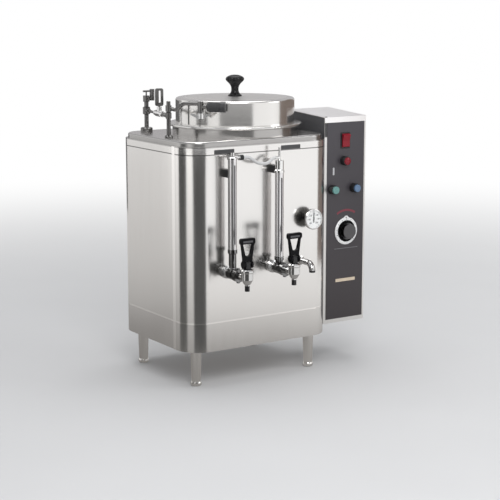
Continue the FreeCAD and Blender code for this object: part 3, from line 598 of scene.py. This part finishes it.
@dataclass
class Maker:
    """Shared ways of turning outlines into finished pieces."""

    finishes: Finishes

    def finish(self, name: str, mesh: Mesh, look: str, slot: str, body: Body = Body.URN) -> Object:
        """Link a mesh as a piece of the urn.

        Args:
            name: The piece's name.
            mesh: Its mesh, in the frame.
            look: The name of its finish.
            slot: Not used.
            body: The body that it rides on.

        Returns:
            The piece.
        """
        mesh.materials.clear()
        mesh.materials.append(self.finishes[look])
        piece = bpy.data.objects.new(name, mesh)
        link(piece)
        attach(piece, body.value)
        LOG.info("%s rides on %s", name, body.value)
        return piece

    def prism(self, name: str, outline: Outline, depth: float, frame: Matrix,
              bevel: float = 0.0) -> Mesh:
        """Raise a flat outline into a solid.

        Args:
            name: The mesh's name.
            outline: Points in order round the outline, in metres.
            depth: How far it is raised along the frame's Z.
            frame: Where the outline's own X, Y and Z lie.
            bevel: The width of the rounding on its edges.

        Returns:
            The mesh.
        """
        shape = bmesh.new()
        base = shape.faces.new([shape.verts.new((x, y, 0.0)) for x, y in outline])
        raised = bmesh.ops.extrude_face_region(shape, geom=[base])
        top = [item for item in raised["geom"] if isinstance(item, bmesh.types.BMVert)]
        bmesh.ops.translate(shape, verts=top, vec=(0.0, 0.0, depth))
        if bevel:
            sharp = [edge for edge in shape.edges if edge.calc_face_angle(0.0) > BEVEL_ABOVE]
            bmesh.ops.bevel(shape, geom=sharp, offset=bevel, segments=BEVEL_STEPS,
                            affect="EDGES", clamp_overlap=True)
        return self._store(name, shape, frame)

    def lathe(self, name: str, profile: Outline, frame: Matrix, segments: int, lobes: int = 0,
              lobe_depth: float = 0.0, lobe_from: float = 0.0) -> Mesh:
        """Turn a closed profile about the frame's Z.

        Args:
            name: The mesh's name.
            profile: Radius and height pairs from axis to axis.
            frame: Where the piece's own axes lie.
            segments: Steps round.
            lobes: Lobes round the edge.
            lobe_depth: How deep the lobes cut, as a part of the radius.
            lobe_from: The height above which the lobes show.

        Returns:
            The mesh.
        """
        shape = bmesh.new()
        rings = []
        for radius, height in profile:
            if radius <= 0.0:
                rings.append([shape.verts.new((0.0, 0.0, height))])
                continue
            ring = []
            for step in range(segments):
                angle = 2 * math.pi * step / segments
                reach = radius
                if lobes and height > lobe_from:
                    reach *= 1 - lobe_depth * (0.5 - 0.5 * math.cos(lobes * angle))
                ring.append(shape.verts.new((reach * math.cos(angle), reach * math.sin(angle),
                                             height)))
            rings.append(ring)
        for low, high in zip(rings, rings[1:]):
            for step in range(segments):
                after = (step + 1) % segments
                if len(low) == 1:
                    shape.faces.new((low[0], high[after], high[step]))
                elif len(high) == 1:
                    shape.faces.new((low[step], low[after], high[0]))
                else:
                    shape.faces.new((low[step], low[after], high[after], high[step]))
        return self._store(name, shape, frame)

    def _store(self, name: str, shape: bmesh.types.BMesh, frame: Matrix) -> Mesh:
        """Put a shape into a mesh, with smooth faces between sharp edges.

        Args:
            name: The mesh's name.
            shape: The shape, which is freed.
            frame: Where the shape's own axes lie.

        Returns:
            The mesh.
        """
        bmesh.ops.recalc_face_normals(shape, faces=shape.faces)
        shape.transform(frame)
        mesh = bpy.data.meshes.new(name)
        shape.to_mesh(mesh)
        shape.free()
        mesh.shade_smooth()
        mesh.set_sharp_from_angle(angle=SMOOTH_BELOW)
        return mesh


def facing(x: float, y: float, z: float) -> Matrix:
    """Return a frame at a point in millimetres whose X is right, Y is up and Z faces the front."""
    turn = Matrix(((1, 0, 0), (0, 0, -1), (0, 1, 0))).to_4x4()
    return Matrix.Translation(Vector((x, y, z)) * MM) @ turn


def upright(x: float, y: float, z: float) -> Matrix:
    """Return a frame at a point in millimetres with its Z up."""
    return Matrix.Translation(Vector((x, y, z)) * MM)


def metres(points: Outline) -> Outline:
    """Return points in metres that are given in millimetres."""
    return [(x * MM, y * MM) for x, y in points]


def arc(centre: Pair, radius: float, start: float, sweep: float, steps: int) -> Outline:
    """Lay even points along an arc.

    Args:
        centre: The arc's centre.
        radius: Its radius.
        start: Where it starts, in degrees.
        sweep: How far it turns, in degrees.
        steps: How many steps it takes.

    Returns:
        One point more than its steps.
    """
    angles = [math.radians(start + sweep * step / steps) for step in range(steps + 1)]
    return [(centre[0] + radius * math.cos(angle), centre[1] + radius * math.sin(angle))
            for angle in angles]


def box_loop(left: float, low: float, right: float, high: float, corner: float = 0.0) -> Outline:
    """Draw a rectangle, with round corners if it has a corner radius.

    Args:
        left: Its lowest x, in millimetres.
        low: Its lowest y.
        right: Its highest x.
        high: Its highest y.
        corner: The corner radius.

    Returns:
        Points anticlockwise, in metres.
    """
    if corner <= 0.0:
        return metres([(left, low), (right, low), (right, high), (left, high)])
    points = []
    for x, y, start in ((right - corner, low + corner, -90), (right - corner, high - corner, 0),
                        (left + corner, high - corner, 90), (left + corner, low + corner, 180)):
        points += arc((x, y), corner, start, 90, CORNER_STEPS)
    return metres(points)


STEEL = (0.8, 0.785, 0.77)
VESSEL_AXIS = (-0.037, 0.0585)
# A painted highlight line down the side faces, where their round front corners start.
CORNER_HIGHLIGHT = ("Y", -0.055, 0.007, 1.2)

# Each finish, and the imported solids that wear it.
FINISHES = (
    # On the wrap and the rim: dark lines of painted shade in the seam at 621 mm and the crease at
    # 640 mm, and a painted highlight line along the seam at 178 mm.
    (BrushedMetal("wrap_steel", STEEL, 0.2, 0.08, shade_and_highlight_lines=(
        ("Z", 0.6212, 0.0014, 0.3), ("Z", 0.6398, 0.0012, 0.6),
        ("Z", 0.178, 0.0016, 1.12), CORNER_HIGHLIGHT)), "body_wrap", "deck_rim"),
    # On the skirt: a painted highlight line along its top seam.
    (BrushedMetal("skirt_steel", (0.745, 0.73, 0.715), 0.21, 0.08,
                  shade_and_highlight_lines=(("Z", 0.1765, 0.0012, 1.2), CORNER_HIGHLIGHT)), "base_skirt"),
    # On the deck, a darker band of painted shade from 641 to 654 mm up.
    (BrushedMetal("deck_steel", STEEL, 0.24, 0.08, Grain.LEVEL,
                  shade_and_highlight_lines=(("Z", 0.6475, 0.0064, 0.52),)), "deck_pan", "base_pan"),
    (BrushedMetal("case_steel", (0.72, 0.71, 0.7), 0.36, 0.08), "control_front"),
    (BrushedMetal("case_top_steel", (0.93, 0.92, 0.92), 0.4, 0.05), "control_top"),
    (BrushedMetal("shield_steel", (0.8, 0.79, 0.8), 0.27),
     "gauge_shield_left", "gauge_shield_right"),
    (BrushedMetal("leg_steel", (0.8, 0.785, 0.765), 0.2, 0.05),
     "leg_front_left", "leg_front_right", "leg_back_left", "leg_back_right"),
    # The lid's crown is darkened as painted shade.
    (SpunMetal("lid_steel", (0.8, 0.785, 0.765), 0.16, VESSEL_AXIS, 0.7515), "lid_shell"),
    (SpunMetal("flange_steel", (0.76, 0.75, 0.735), 0.2, VESSEL_AXIS), "coffee_liner"),
    # The collar under the flange gets a dark steel as painted shade.
    (SpunMetal("collar_steel_shaded", (0.44, 0.43, 0.42), 0.18, VESSEL_AXIS), "water_jacket"),
    (SpunMetal("basket_steel", (0.7, 0.69, 0.67), 0.3, VESSEL_AXIS), "brew_basket"),
    (Plating("plating", (0.82, 0.815, 0.81)), "gauge_cap_right", "cover_screws",
     "water_inlet", "wing_nut", "valve_body"),
    # The deck pipework's plating is painted dark and heavily mottled, as a painted reflection of
    # dark surroundings.
    (Plating("dark_reflection_plating", (0.21, 0.206, 0.202), 0.1, 0.5), "riser_pipe", "link_pipe",
     "valve_lever", "swivel_column", "spray_arm", "tee_handle", "heating_element"),
    # The spout's plating is darker and heavily mottled as a painted dark reflection, with a
    # near-black band at its tip.
    (BandedPlating("spout_plating", (0.62, 0.615, 0.61), contrast=0.7, mottle=90.0,
                   bands=((0.285, 0.2985),), band_colour=(0.03, 0.03, 0.03),
                   band_metal=0.5), "hot_water_spout"),
    # The shanks and nuts get dark, heavily mottled plating as a painted dark reflection, with
    # brighter plating in a band from Y -148 to -110 mm.
    (BandedPlating("shank_plating", (0.3, 0.3, 0.3), contrast=0.9, mottle=130.0,
                   axis="Y", bands=((-0.148, -0.11),), band_colour=(0.62, 0.62, 0.62),
                   band_metal=1.0), "shank_left", "shank_right", "coupling_nuts"),
    (BandedPlating("tap_plating", (0.72, 0.715, 0.71),
                   bands=((0.27, 0.2905), (0.3335, 0.38))),
     "faucet_body_left", "faucet_body_right"),
    # The thermometer case is painted dark behind its bright front rim, as painted shade and
    # reflection.
    (BandedPlating("dial_plating", (0.82, 0.815, 0.81), axis="Y",
                   bands=((-0.1585, -0.11),), band_colour=(0.11, 0.11, 0.105),
                   band_metal=1.0), "thermometer_case"),
    (BandedPlating("nozzle_plating", (0.8, 0.795, 0.79), axis="X",
                   bands=((-0.1665, -0.154),)), "gauge_cap_left"),
    # The thermostat knob's front face band is painted a lighter grey as painted light, and its
    # sides stay near black.
    (BandedPlating("dial_black", (0.012, 0.012, 0.013), contrast=0.5, axis="Y",
                   bands=((-0.1135, -0.1108),), band_colour=(0.06, 0.057, 0.06)),
     "thermostat_knob"),
    (Moulding("case_enamel", (0.07, 0.07, 0.075), 0.42), "control_case"),
    (Moulding("black_gloss", (0.004, 0.004, 0.005), 0.24, shine=0.1),
     "faucet_handle_left", "faucet_handle_right"),
    (Moulding("knob_gloss", (0.006, 0.006, 0.007), 0.24, shine=0.25), "lid_knob"),
    (Moulding("hose_black", (0.032, 0.032, 0.034), 0.38), "arm_coupling"),
    (Moulding("black_satin", (0.012, 0.012, 0.013), 0.4), "gauge_brackets",
     "button_barrels", "switch_housing", "cord_gland", "faucet_stem_left",
     "faucet_stem_right", "thermometer_pointer"),
    (Moulding("hose_gray", (0.52, 0.52, 0.52), 0.35), "vent_tube"),
    (Moulding("rocker_red", (0.22, 0.006, 0.016), 0.3, shine=0.3), "rocker"),
    (Moulding("lens_red", (0.2, 0.012, 0.022), 0.22, shine=0.3), "pilot_lens"),
    (Moulding("button_green", (0.12, 0.28, 0.26), 0.28), "start_button"),
    (Moulding("button_blue", (0.1, 0.17, 0.28), 0.28), "stop_button"),
    (Moulding("ring_white", (0.8, 0.8, 0.8), 0.3, 0.2), "thermostat_skirt"),
    (Moulding("pump_gray", (0.2, 0.2, 0.21), 0.5), "pump_motor"),
    (Moulding("print_white", (0.46, 0.46, 0.47), 0.5),),
    (Moulding("print_red", (0.17, 0.03, 0.045), 0.5),),
    (Moulding("print_cream", (0.6, 0.5, 0.38), 0.5),),
    (Moulding("dial_white", (0.9, 0.9, 0.89), 0.4),),
    (Moulding("plate_gray", (0.045, 0.045, 0.047), 0.4),),
    # The handle bars' lighter grey is a painted highlight.
    (Moulding("bar_highlight_gray", (0.06, 0.06, 0.065), 0.3),),
    (Moulding("ink_black", (0.02, 0.02, 0.02), 0.5),),
    (PanelFilm("panel_film", (0.03, 0.024, 0.026), (0.05, 0.046, 0.055), 0.12, 0.68),
     "control_overlay"),
    (ClearGlass("clear_glass", (0.93, 0.95, 0.95), (0.99, 0.99, 0.99), 40.0, 0.01),
     "gauge_glasses"),
    (ClearGlass("clear_lens", (0.9, 0.92, 0.92), WHITE, 60.0, 0.02, thin=True),
     "thermometer_lens"),
)


@dataclass
class Finishes:
    """Every finish on the urn, built once."""

    made: dict[str, Material] = field(default_factory=dict)

    def build(self, nodes: dict[str, Object]) -> None:
        """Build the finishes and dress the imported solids.

        Args:
            nodes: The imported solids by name.
        """
        for plan, *wearers in FINISHES:
            self.made[plan.name] = plan.build()
            for name in wearers:
                mesh = nodes[name].data
                mesh.materials.clear()
                mesh.materials.append(self.made[plan.name])
            LOG.info("%s dresses %d solids", plan.name, len(wearers))

    def __getitem__(self, name: str) -> Material:
        """Return a finish by name."""
        return self.made[name]


@dataclass
class PanelTrim(Maker):
    """The printing on the control panel and a strip of painted shade at its left edge, laid out
    from its left edge and the floor.
    """

    face_y: float = -92.5
    left_x: float = 159.0
    film: float = 0.15
    dial: Pair = (76.0, 375.0)
    arc_radii: Pair = (62.0, 56.0)
    arc_from: float = 58.0
    arc_sweep: float = 64.0
    arc_steps: int = 12

    def build(self) -> None:
        """Print the bare strips, the lines and the dial's arc, and lay a dark strip of painted
        shade at the top of the left edge, some behind the film's face.
        """
        outer, inner = (arc(self.dial, radius, self.arc_from, self.arc_sweep, self.arc_steps)
                        for radius in self.arc_radii)
        for name, outline, look, back in (
            ("panel_white_mark", box_loop(28.5, 535, 34, 556, 2), "print_white", 0.0),
            ("panel_cream_strip", box_loop(42, 231, 110, 240, 1.5), "print_cream", 0.0),
            ("panel_thin_line", box_loop(36.5, 325.4, 117.5, 326.6), "pump_gray", 0.0),
            # A dark strip of painted shade on the top of the panel's left edge.
            ("panel_shade_strip", box_loop(0.6, 642, 8.6, 698), "plate_gray", 1.0),
            ("panel_red_arc", metres(outer + inner[::-1]), "print_red", 0.0),
        ):
            frame = facing(self.left_x, self.face_y + back, 0.0)
            mesh = self.prism(name, outline, self.film * MM, frame)
            self.finish(name, mesh, look, "panel_film")


@dataclass
class RimPlates(Maker):
    """The two bare plates on the rim above the gauges."""

    middle_x: float = -71.0
    face_y: float = -132.5
    low: float = 622.5
    high: float = 633.5
    thick: float = 0.8

    def build(self) -> None:
        """Fix the plates."""
        frame = facing(self.middle_x, self.face_y, 0.0)
        for name, left, right in (("rim_plate_left", -152, -91), ("rim_plate_right", 57, 119)):
            outline = box_loop(left, self.low, right, self.high, 1.0)
            mesh = self.prism(name, outline, self.thick * MM, frame, 0.2 * MM)
            self.finish(name, mesh, "plate_gray", "black_plastic")


@dataclass
class Dial(Maker):
    """A round dial with ticks set out from its first mark."""

    copies: RadialCopies

    def ticks(self, name: str, sizes: tuple[float, ...], count: int, step: float,
              frame: Matrix, body: Body = Body.URN) -> None:
        """Print a ring of ticks.

        Args:
            name: The piece's name.
            sizes: The radii of the ticks' ends, their width and their thickness.
            count: How many there are.
            step: The turn from one to the next, in degrees.
            frame: Where the dial lies.
            body: The body that it rides on.
        """
        inner, outer, wide, thick = sizes
        outline = box_loop(0, -wide / 2, outer - inner, wide / 2)
        bar = self.prism(f"{name}_bar", outline, thick * MM, Matrix())
        mesh = self.copies.make(name, bar, frame, Count=count, Radius=inner * MM,
                                Start=math.radians(MARKS_FROM), Step=math.radians(step),
                                Finish=self.finishes["ink_black"])
        self.finish(name, mesh, "ink_black", "pointer_black", body)


@dataclass
class ThermometerFace(Dial):
    """The white face behind the thermometer's lens, with its ticks and numbers."""

    centre: Point = (75.0, -159.5, 431.0)
    radius: float = 24.8
    segments: int = 72
    back: float = 0.01
    front: float = 0.25
    long_ticks: tuple[float, ...] = (20.0, 24.2, 1.0, 0.06)
    short_ticks: tuple[float, ...] = (22.0, 24.2, 0.5, 0.06)
    short_count: int = 31
    short_step: float = 9.0
    numbers: int = 7
    lowest: int = 80
    rise: int = 20
    number_step: float = 45.0
    number_radius: float = 14.6
    number_height: float = 6.4
    number_thick: float = 0.04
    number_bold: float = 0.14

    def build(self) -> None:
        """Lay the face and its marks."""
        frame = facing(*self.centre)
        profile = metres([(0, self.back), (self.radius, self.back), (self.radius, self.front),
                          (0, self.front)])
        face = self.lathe("thermometer_face", profile, frame, self.segments)
        self.finish("thermometer_face", face, "dial_white", "white_skirt")
        lift = frame @ upright(0.0, 0.0, self.front)
        self.ticks("dial_ticks_long", self.long_ticks, self.numbers, -self.number_step, lift)
        self.ticks("dial_ticks_short", self.short_ticks, self.short_count, -self.short_step, lift)
        places = arc((0.0, 0.0), self.number_radius, MARKS_FROM,
                     -self.number_step * (self.numbers - 1), self.numbers - 1)
        for index, (x, y) in enumerate(metres(places)):
            self._number(f"dial_number_{index}", str(self.lowest + self.rise * index),
                         lift @ Matrix.Translation((x, y, 0.0)))

    def _number(self, name: str, text: str, place: Matrix) -> None:
        """Print one number.

        Args:
            name: The piece's name.
            text: The number.
            place: Where its middle lies.
        """
        curve = bpy.data.curves.new(name, "FONT")
        curve.body = text
        curve.size = self.number_height * MM
        curve.align_x = curve.align_y = "CENTER"
        curve.extrude = self.number_thick * MM
        curve.offset = self.number_bold * MM
        mesh = plain_mesh(bpy.data.objects.new(name, curve))
        mesh.transform(place)
        self.finish(name, mesh, "ink_black", "pointer_black")


@dataclass
class LidKnob(Maker):
    """The lobed knob on the lid, which replaces its plain solid."""

    base: Point = (-37.0, 58.5, 754.0)
    segments: int = 144
    lobes: int = 12
    lobe_depth: float = 0.07
    lobe_from: float = 34.0

    def build(self) -> None:
        """Turn the knob and cut its lobes."""
        profile = [(0, 0), (19, 0), (19.2, 1.2), (18.4, 2.8), (15.5, 5.0), (12.4, 8.4),
                   (10.6, 12.6), (10.0, 17.5), (10.2, 22.5), (11.6, 27.5), (15.0, 33.0),
                   (20.0, 38.0), (23.6, 41.4), (25.2, 44.4), (25.4, 47.0), (24.4, 49.8),
                   (21.6, 52.6), (16.8, 55.2), (10.4, 57.2), (5.0, 57.85), (0, 58.0)]
        mesh = self.lathe("knob", metres(profile), upright(*self.base), self.segments,
                          self.lobes, self.lobe_depth, self.lobe_from * MM)
        piece = self.finish("knob", mesh, "knob_gloss", "black_plastic", Body.LID)
        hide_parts("lid_knob")


@dataclass
class CouplingRibs(Maker):
    """The ribs round the arm's hose coupling."""

    copies: RadialCopies
    column: Point = (-271.0, 17.5, 738.0)
    bearing: float = -42.0
    radius: float = 12.0
    start: float = 108.0
    length: float = 30.0
    ribs: int = 20

    def build(self) -> None:
        """Set the ribs round the coupling's axis."""
        turn = Matrix.Rotation(math.radians(self.bearing), 4, "Z")
        onto = Matrix.Rotation(math.radians(90), 4, "Y")
        frame = upright(*self.column) @ turn @ onto
        rib = self.prism("rib", box_loop(0, -0.8, 1.3, 0.8, 0.5), self.length * MM,
                         Matrix.Translation((0.0, 0.0, self.start * MM)), 0.3 * MM)
        mesh = self.copies.make("coupling_ribs", rib, frame, Count=self.ribs,
                                Radius=self.radius * MM, Start=0.0,
                                Step=math.radians(360 / self.ribs),
                                Finish=self.finishes["hose_black"])
        self.finish("coupling_ribs", mesh, "hose_black", "black_plastic", Body.ARM)


@dataclass
class HandleHighlightBars(Maker):
    """The raised bars across the tops of the tap handles, lighter grey as a painted highlight."""

    front_y: float = -236.4
    low: float = 403.5
    high: float = 408.5
    half: float = 15.0
    thick: float = 0.7

    def build(self) -> None:
        """Lay a bar on each handle."""
        outline = box_loop(-self.half, self.low, self.half, self.high, 2)
        for side, body, x in TAPS:
            mesh = self.prism(f"handle_bar_{side}", outline, self.thick * MM,
                              facing(x, self.front_y, 0.0), 0.3 * MM)
            self.finish(f"handle_bar_{side}", mesh, "bar_highlight_gray", "black_plastic", body)


@dataclass
class PivotCaps(Maker):
    """The round caps that close the tap handles' forks over the lugs."""

    pivot: Pair = (-232.5, 346.0)
    radius: float = 9.4
    half: float = 6.8
    chord: float = 5.0
    steps: int = 12

    def build(self) -> None:
        """Set a cap on each lug."""
        start = math.degrees(math.asin(self.chord / self.radius))
        outline = metres(arc((0.0, 0.0), self.radius, start, 180 - 2 * start, self.steps))
        across = Matrix(((0, 0, 1), (1, 0, 0), (0, 1, 0))).to_4x4()
        for side, _, x in TAPS:
            frame = upright(x - self.half, *self.pivot) @ across
            mesh = self.prism(f"pivot_cap_{side}", outline, 2 * self.half * MM, frame, 0.4 * MM)
            self.finish(f"pivot_cap_{side}", mesh, "black_satin", "black_plastic")


@dataclass
class DialMarks(Dial):
    """The ticks round the thermostat's white ring."""

    centre: Point = (235.0, -95.82, 375.0)
    sizes: tuple[float, ...] = (31.5, 35.1, 1.2, 0.12)
    count: int = 11
    step: float = -27.0

    def build(self) -> None:
        """Print the ticks."""
        self.ticks("ring_ticks", self.sizes, self.count, self.step, facing(*self.centre),
                   Body.THERMOSTAT)


@dataclass(frozen=True)
class Lamp:
    """A soft square lamp that is aimed at the urn."""

    name: str
    place: Point
    size: float
    power: float

    def hang(self, aim: Point) -> None:
        """Hang the lamp.

        Args:
            aim: The point that it faces.
        """
        data = bpy.data.lights.new(self.name, "AREA")
        data.shape = "SQUARE"
        data.size = self.size
        data.energy = self.power
        lamp = bpy.data.objects.new(self.name, data)
        lamp.location = self.place
        lamp.rotation_mode = "QUATERNION"
        lamp.rotation_quaternion = (Vector(aim) - Vector(self.place)).to_track_quat("-Z", "Y")
        link(lamp)


@dataclass(frozen=True)
class Card:
    """A glowing card, bent round an upright axis, toned from its low edge to its high one."""

    name: str
    low_tone: Colour
    high_tone: Colour
    start: float
    end: float
    distance: float
    low: float
    high: float
    steps: int = 16

    def rows(self, axis: Pair) -> list[list[Point]]:
        """Return the points of the card's low and high edges, round an axis."""
        edge = arc(axis, self.distance, self.start, self.end - self.start, self.steps)
        return [[(x, y, height) for x, y in edge] for height in (self.low, self.high)]

    def paint(self) -> Material:
        """Build the card's glow.

        Returns:
            The material.
        """
        graph = Graph(self.name)
        rise = graph.rise(graph.along("Z"), self.low, self.high)
        graph.glow(1.0, graph.blend(rise, self.low_tone, self.high_tone))
        return graph.material


@dataclass
class Studio:
    """The floor, the lights, the dark cards and the camera."""

    eye: Point = (-2106.5, -3169.8, 1032.7)
    azimuth: float = 33.28
    pitch: float = 10.47
    lens: float = 100.31
    sensor: float = 36.0
    farthest: float = 120.0
    corner: Pair = (-0.237, -0.0685)
    aim: Point = (0.0, 0.0, 0.4)
    floor_half: float = 40.0
    floor_fade: Pair = (0.9, 4.2)
    counter_half: float = 6.0
    counter_lift: float = 0.002
    counter_fade: Pair = (0.4, 3.8)

    def build(self) -> None:
        """Set the studio up."""
        self._camera()
        self._world()
        self._floor()
        self._counter()
        self._lamps()
        self._cards()

    def _camera(self) -> None:
        """Place the camera where the photograph was taken from."""
        data = bpy.data.cameras.new("camera")
        data.lens = self.lens
        data.sensor_width = self.sensor
        data.clip_end = self.farthest
        camera = bpy.data.objects.new("camera", data)
        camera.location = Vector(self.eye) * MM
        camera.rotation_euler = (math.radians(90 - self.pitch), 0.0, math.radians(-self.azimuth))
        link(camera)
        bpy.context.scene.camera = camera

    def _world(self) -> None:
        """Light the room softly, and show white to the camera and a soft sky to metal."""
        scene = bpy.context.scene
        scene.view_settings.view_transform = "Standard"
        world = bpy.data.worlds.new("room")
        scene.world = world
        world.use_nodes = True
        world.node_tree.nodes.clear()
        tree = Tree(world.node_tree)
        camera, glossy, through = (
            tree.node("ShaderNodeLightPath", {}, {}, f"Is {ray} Ray")
            for ray in ("Camera", "Glossy", "Transmission"))
        way = tree.node("ShaderNodeTexCoord", {}, {}, "Generated")
        rise = tree.node("ShaderNodeSeparateXYZ", {}, {0: way}, "Z")
        sky = tree.node("ShaderNodeValToRGB", {"stops": [
            (0.0, WHITE), (0.25, (0.95, 0.95, 0.95)), (0.6, (0.5, 0.5, 0.51)),
            (1.0, (0.42, 0.42, 0.43))]}, {"Fac": rise})
        soft, shine, white = (
            tree.node("ShaderNodeBackground", {}, {"Color": colour, "Strength": strength})
            for colour, strength in (((0.95, 0.97, 1.0), 0.55), (sky, 1.0), (WHITE, 1.0)))
        lit = tree.node("ShaderNodeMixShader", {}, {0: glossy, 1: soft, 2: shine})
        seen = tree.node("ShaderNodeMixShader", {}, {0: camera + through, 1: lit, 2: white})
        tree.node("ShaderNodeOutputWorld", {}, {0: seen}, None)

    def _floor(self) -> None:
        """Lay a plain pale floor that fades to white far off, so that it shows no edge."""
        graph = Graph("floor_paint")
        grain = graph.noise(3.0, 2.0)
        fade = graph.rise(graph.length(graph.place()), *self.floor_fade,
                          interpolation_type="SMOOTHSTEP")
        graph.surface(Base_Color=graph.blend(grain, (0.6, 0.6, 0.605), (0.63, 0.63, 0.635)),
                      Roughness=0.6)
        graph.glow(fade, WHITE)
        self._stand("floor", self._square(self.floor_half, 0.0), graph.material, False)

    def _square(self, half: float, height: float) -> list[list[Point]]:
        """Return a level square's rows of points, from half its side and its height."""
        return [[(x, y, height) for x in (-half, half)] for y in (-half, half)]

    def _stand(self, name: str, rows: list[list[Point]], material: Material,
               mirrored: bool = True) -> None:
        """Stand a sheet of the studio, given as rows of points.

        Args:
            name: The sheet's name.
            rows: Rows of equally many points.
            material: What it is covered with.
            mirrored: Whether it is seen in polished surfaces only.
        """
        shape = bmesh.new()
        grid = [[shape.verts.new(point) for point in row] for row in rows]
        for low, high in zip(grid, grid[1:]):
            for step in range(len(low) - 1):
                shape.faces.new((low[step], low[step + 1], high[step + 1], high[step]))
        mesh = bpy.data.meshes.new(name)
        shape.to_mesh(mesh)
        shape.free()
        mesh.materials.append(material)
        sheet = bpy.data.objects.new(name, mesh)
        link(sheet)
        if mirrored:
            for ray in ("camera", "diffuse", "shadow", "transmission"):
                setattr(sheet, f"visible_{ray}", False)

    def _lamps(self) -> None:
        """Hang the soft lamps."""
        for lamp in (Lamp("key", (-1.2, -2.6, 2.6), 1.6, 52.0),
                     Lamp("fill", (2.6, -2.0, 1.8), 1.6, 20.0),
                     Lamp("top", (0.2, 0.4, 3.0), 2.2, 36.0)):
            lamp.hang(self.aim)

    def _counter(self) -> None:
        """Lay the counter's tone round the urn, which only polished surfaces see."""
        graph = Graph("counter_tone")
        side = graph.along("X") * 0.45 - graph.along("Y") * 0.45 + 0.5
        reach = graph.rise(graph.length(graph.place()), *self.counter_fade)
        places = (0.0, 0.1, 0.22, 0.45, 1.0)
        front, back = (
            graph.node("ShaderNodeValToRGB", {"stops": list(zip(places, tones))}, {"Fac": reach})
            for tones in (((0.44, 0.43, 0.42), (0.68, 0.67, 0.66), (0.88, 0.87, 0.86),
                           (0.98, 0.98, 0.98), (1.15, 1.15, 1.15)),
                          ((0.2, 0.19, 0.18), (0.3, 0.29, 0.28), (0.48, 0.47, 0.46),
                           (0.62, 0.61, 0.6), (0.74, 0.73, 0.72))))
        graph.glow(1.0, graph.blend(side, back, front))
        rows = self._square(self.counter_half, self.counter_lift)
        self._stand("counter", rows, graph.material)

    def _cards(self) -> None:
        """Stand toned cards that only polished surfaces see, as a studio does for metal."""
        dark = (0.07, 0.07, 0.068)
        warm = (0.22, 0.18, 0.16)
        pale = (0.5, 0.49, 0.5)
        for card in (
            Card("card_near", (0.3, 0.29, 0.28), (1.15, 1.14, 1.13), 127, 149, 0.38, 0.0, 0.62),
            Card("card_left", (0.12, 0.12, 0.115), dark, 151, 191, 0.38, 0.0, 0.61),
            Card("card_white", (0.4, 0.39, 0.38), (1.25, 1.25, 1.23), 193, 220, 0.38, 0.0, 0.62),
            Card("card_camera", (0.09, 0.09, 0.088), dark, 222, 276.5, 0.38, 0.0, 0.578),
            Card("card_lid", (0.0, 0.0, 0.0), (0.75, 0.75, 0.75), 209, 281, 0.95, 0.51, 0.8),
            Card("card_collar", (0.05, 0.05, 0.05), (0.2, 0.2, 0.2), 150, 180, 0.7, 0.45, 0.66),
            Card("card_edge", (0.1, 0.1, 0.1), (0.14, 0.14, 0.14), 62, 100, 1.2, 0.3, 0.74),
            Card("card_right", warm, warm, -22, 22, 0.9, 0.2, 1.1),
            Card("card_brim", warm, warm, 22, 42, 0.9, 0.3, 0.71),
            Card("card_behind", pale, pale, 30, 95, 1.6, 0.6, 1.6),
        ):
            self._stand(card.name, card.rows(self.corner), card.paint())


def main() -> None:
    """Load the frame, dress it, build the trim and set the studio up."""
    logging.basicConfig(level=logging.INFO, format="%(message)s")
    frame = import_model()
    finishes = Finishes()
    finishes.build(frame["nodes"])
    Studio().build()
    copies = RadialCopies()
    for maker in (PanelTrim(finishes), RimPlates(finishes), ThermometerFace(finishes, copies),
                  LidKnob(finishes), CouplingRibs(finishes, copies), HandleHighlightBars(finishes),
                  PivotCaps(finishes), DialMarks(finishes, copies)):
        maker.build()


if __name__ == "__main__":
    main()
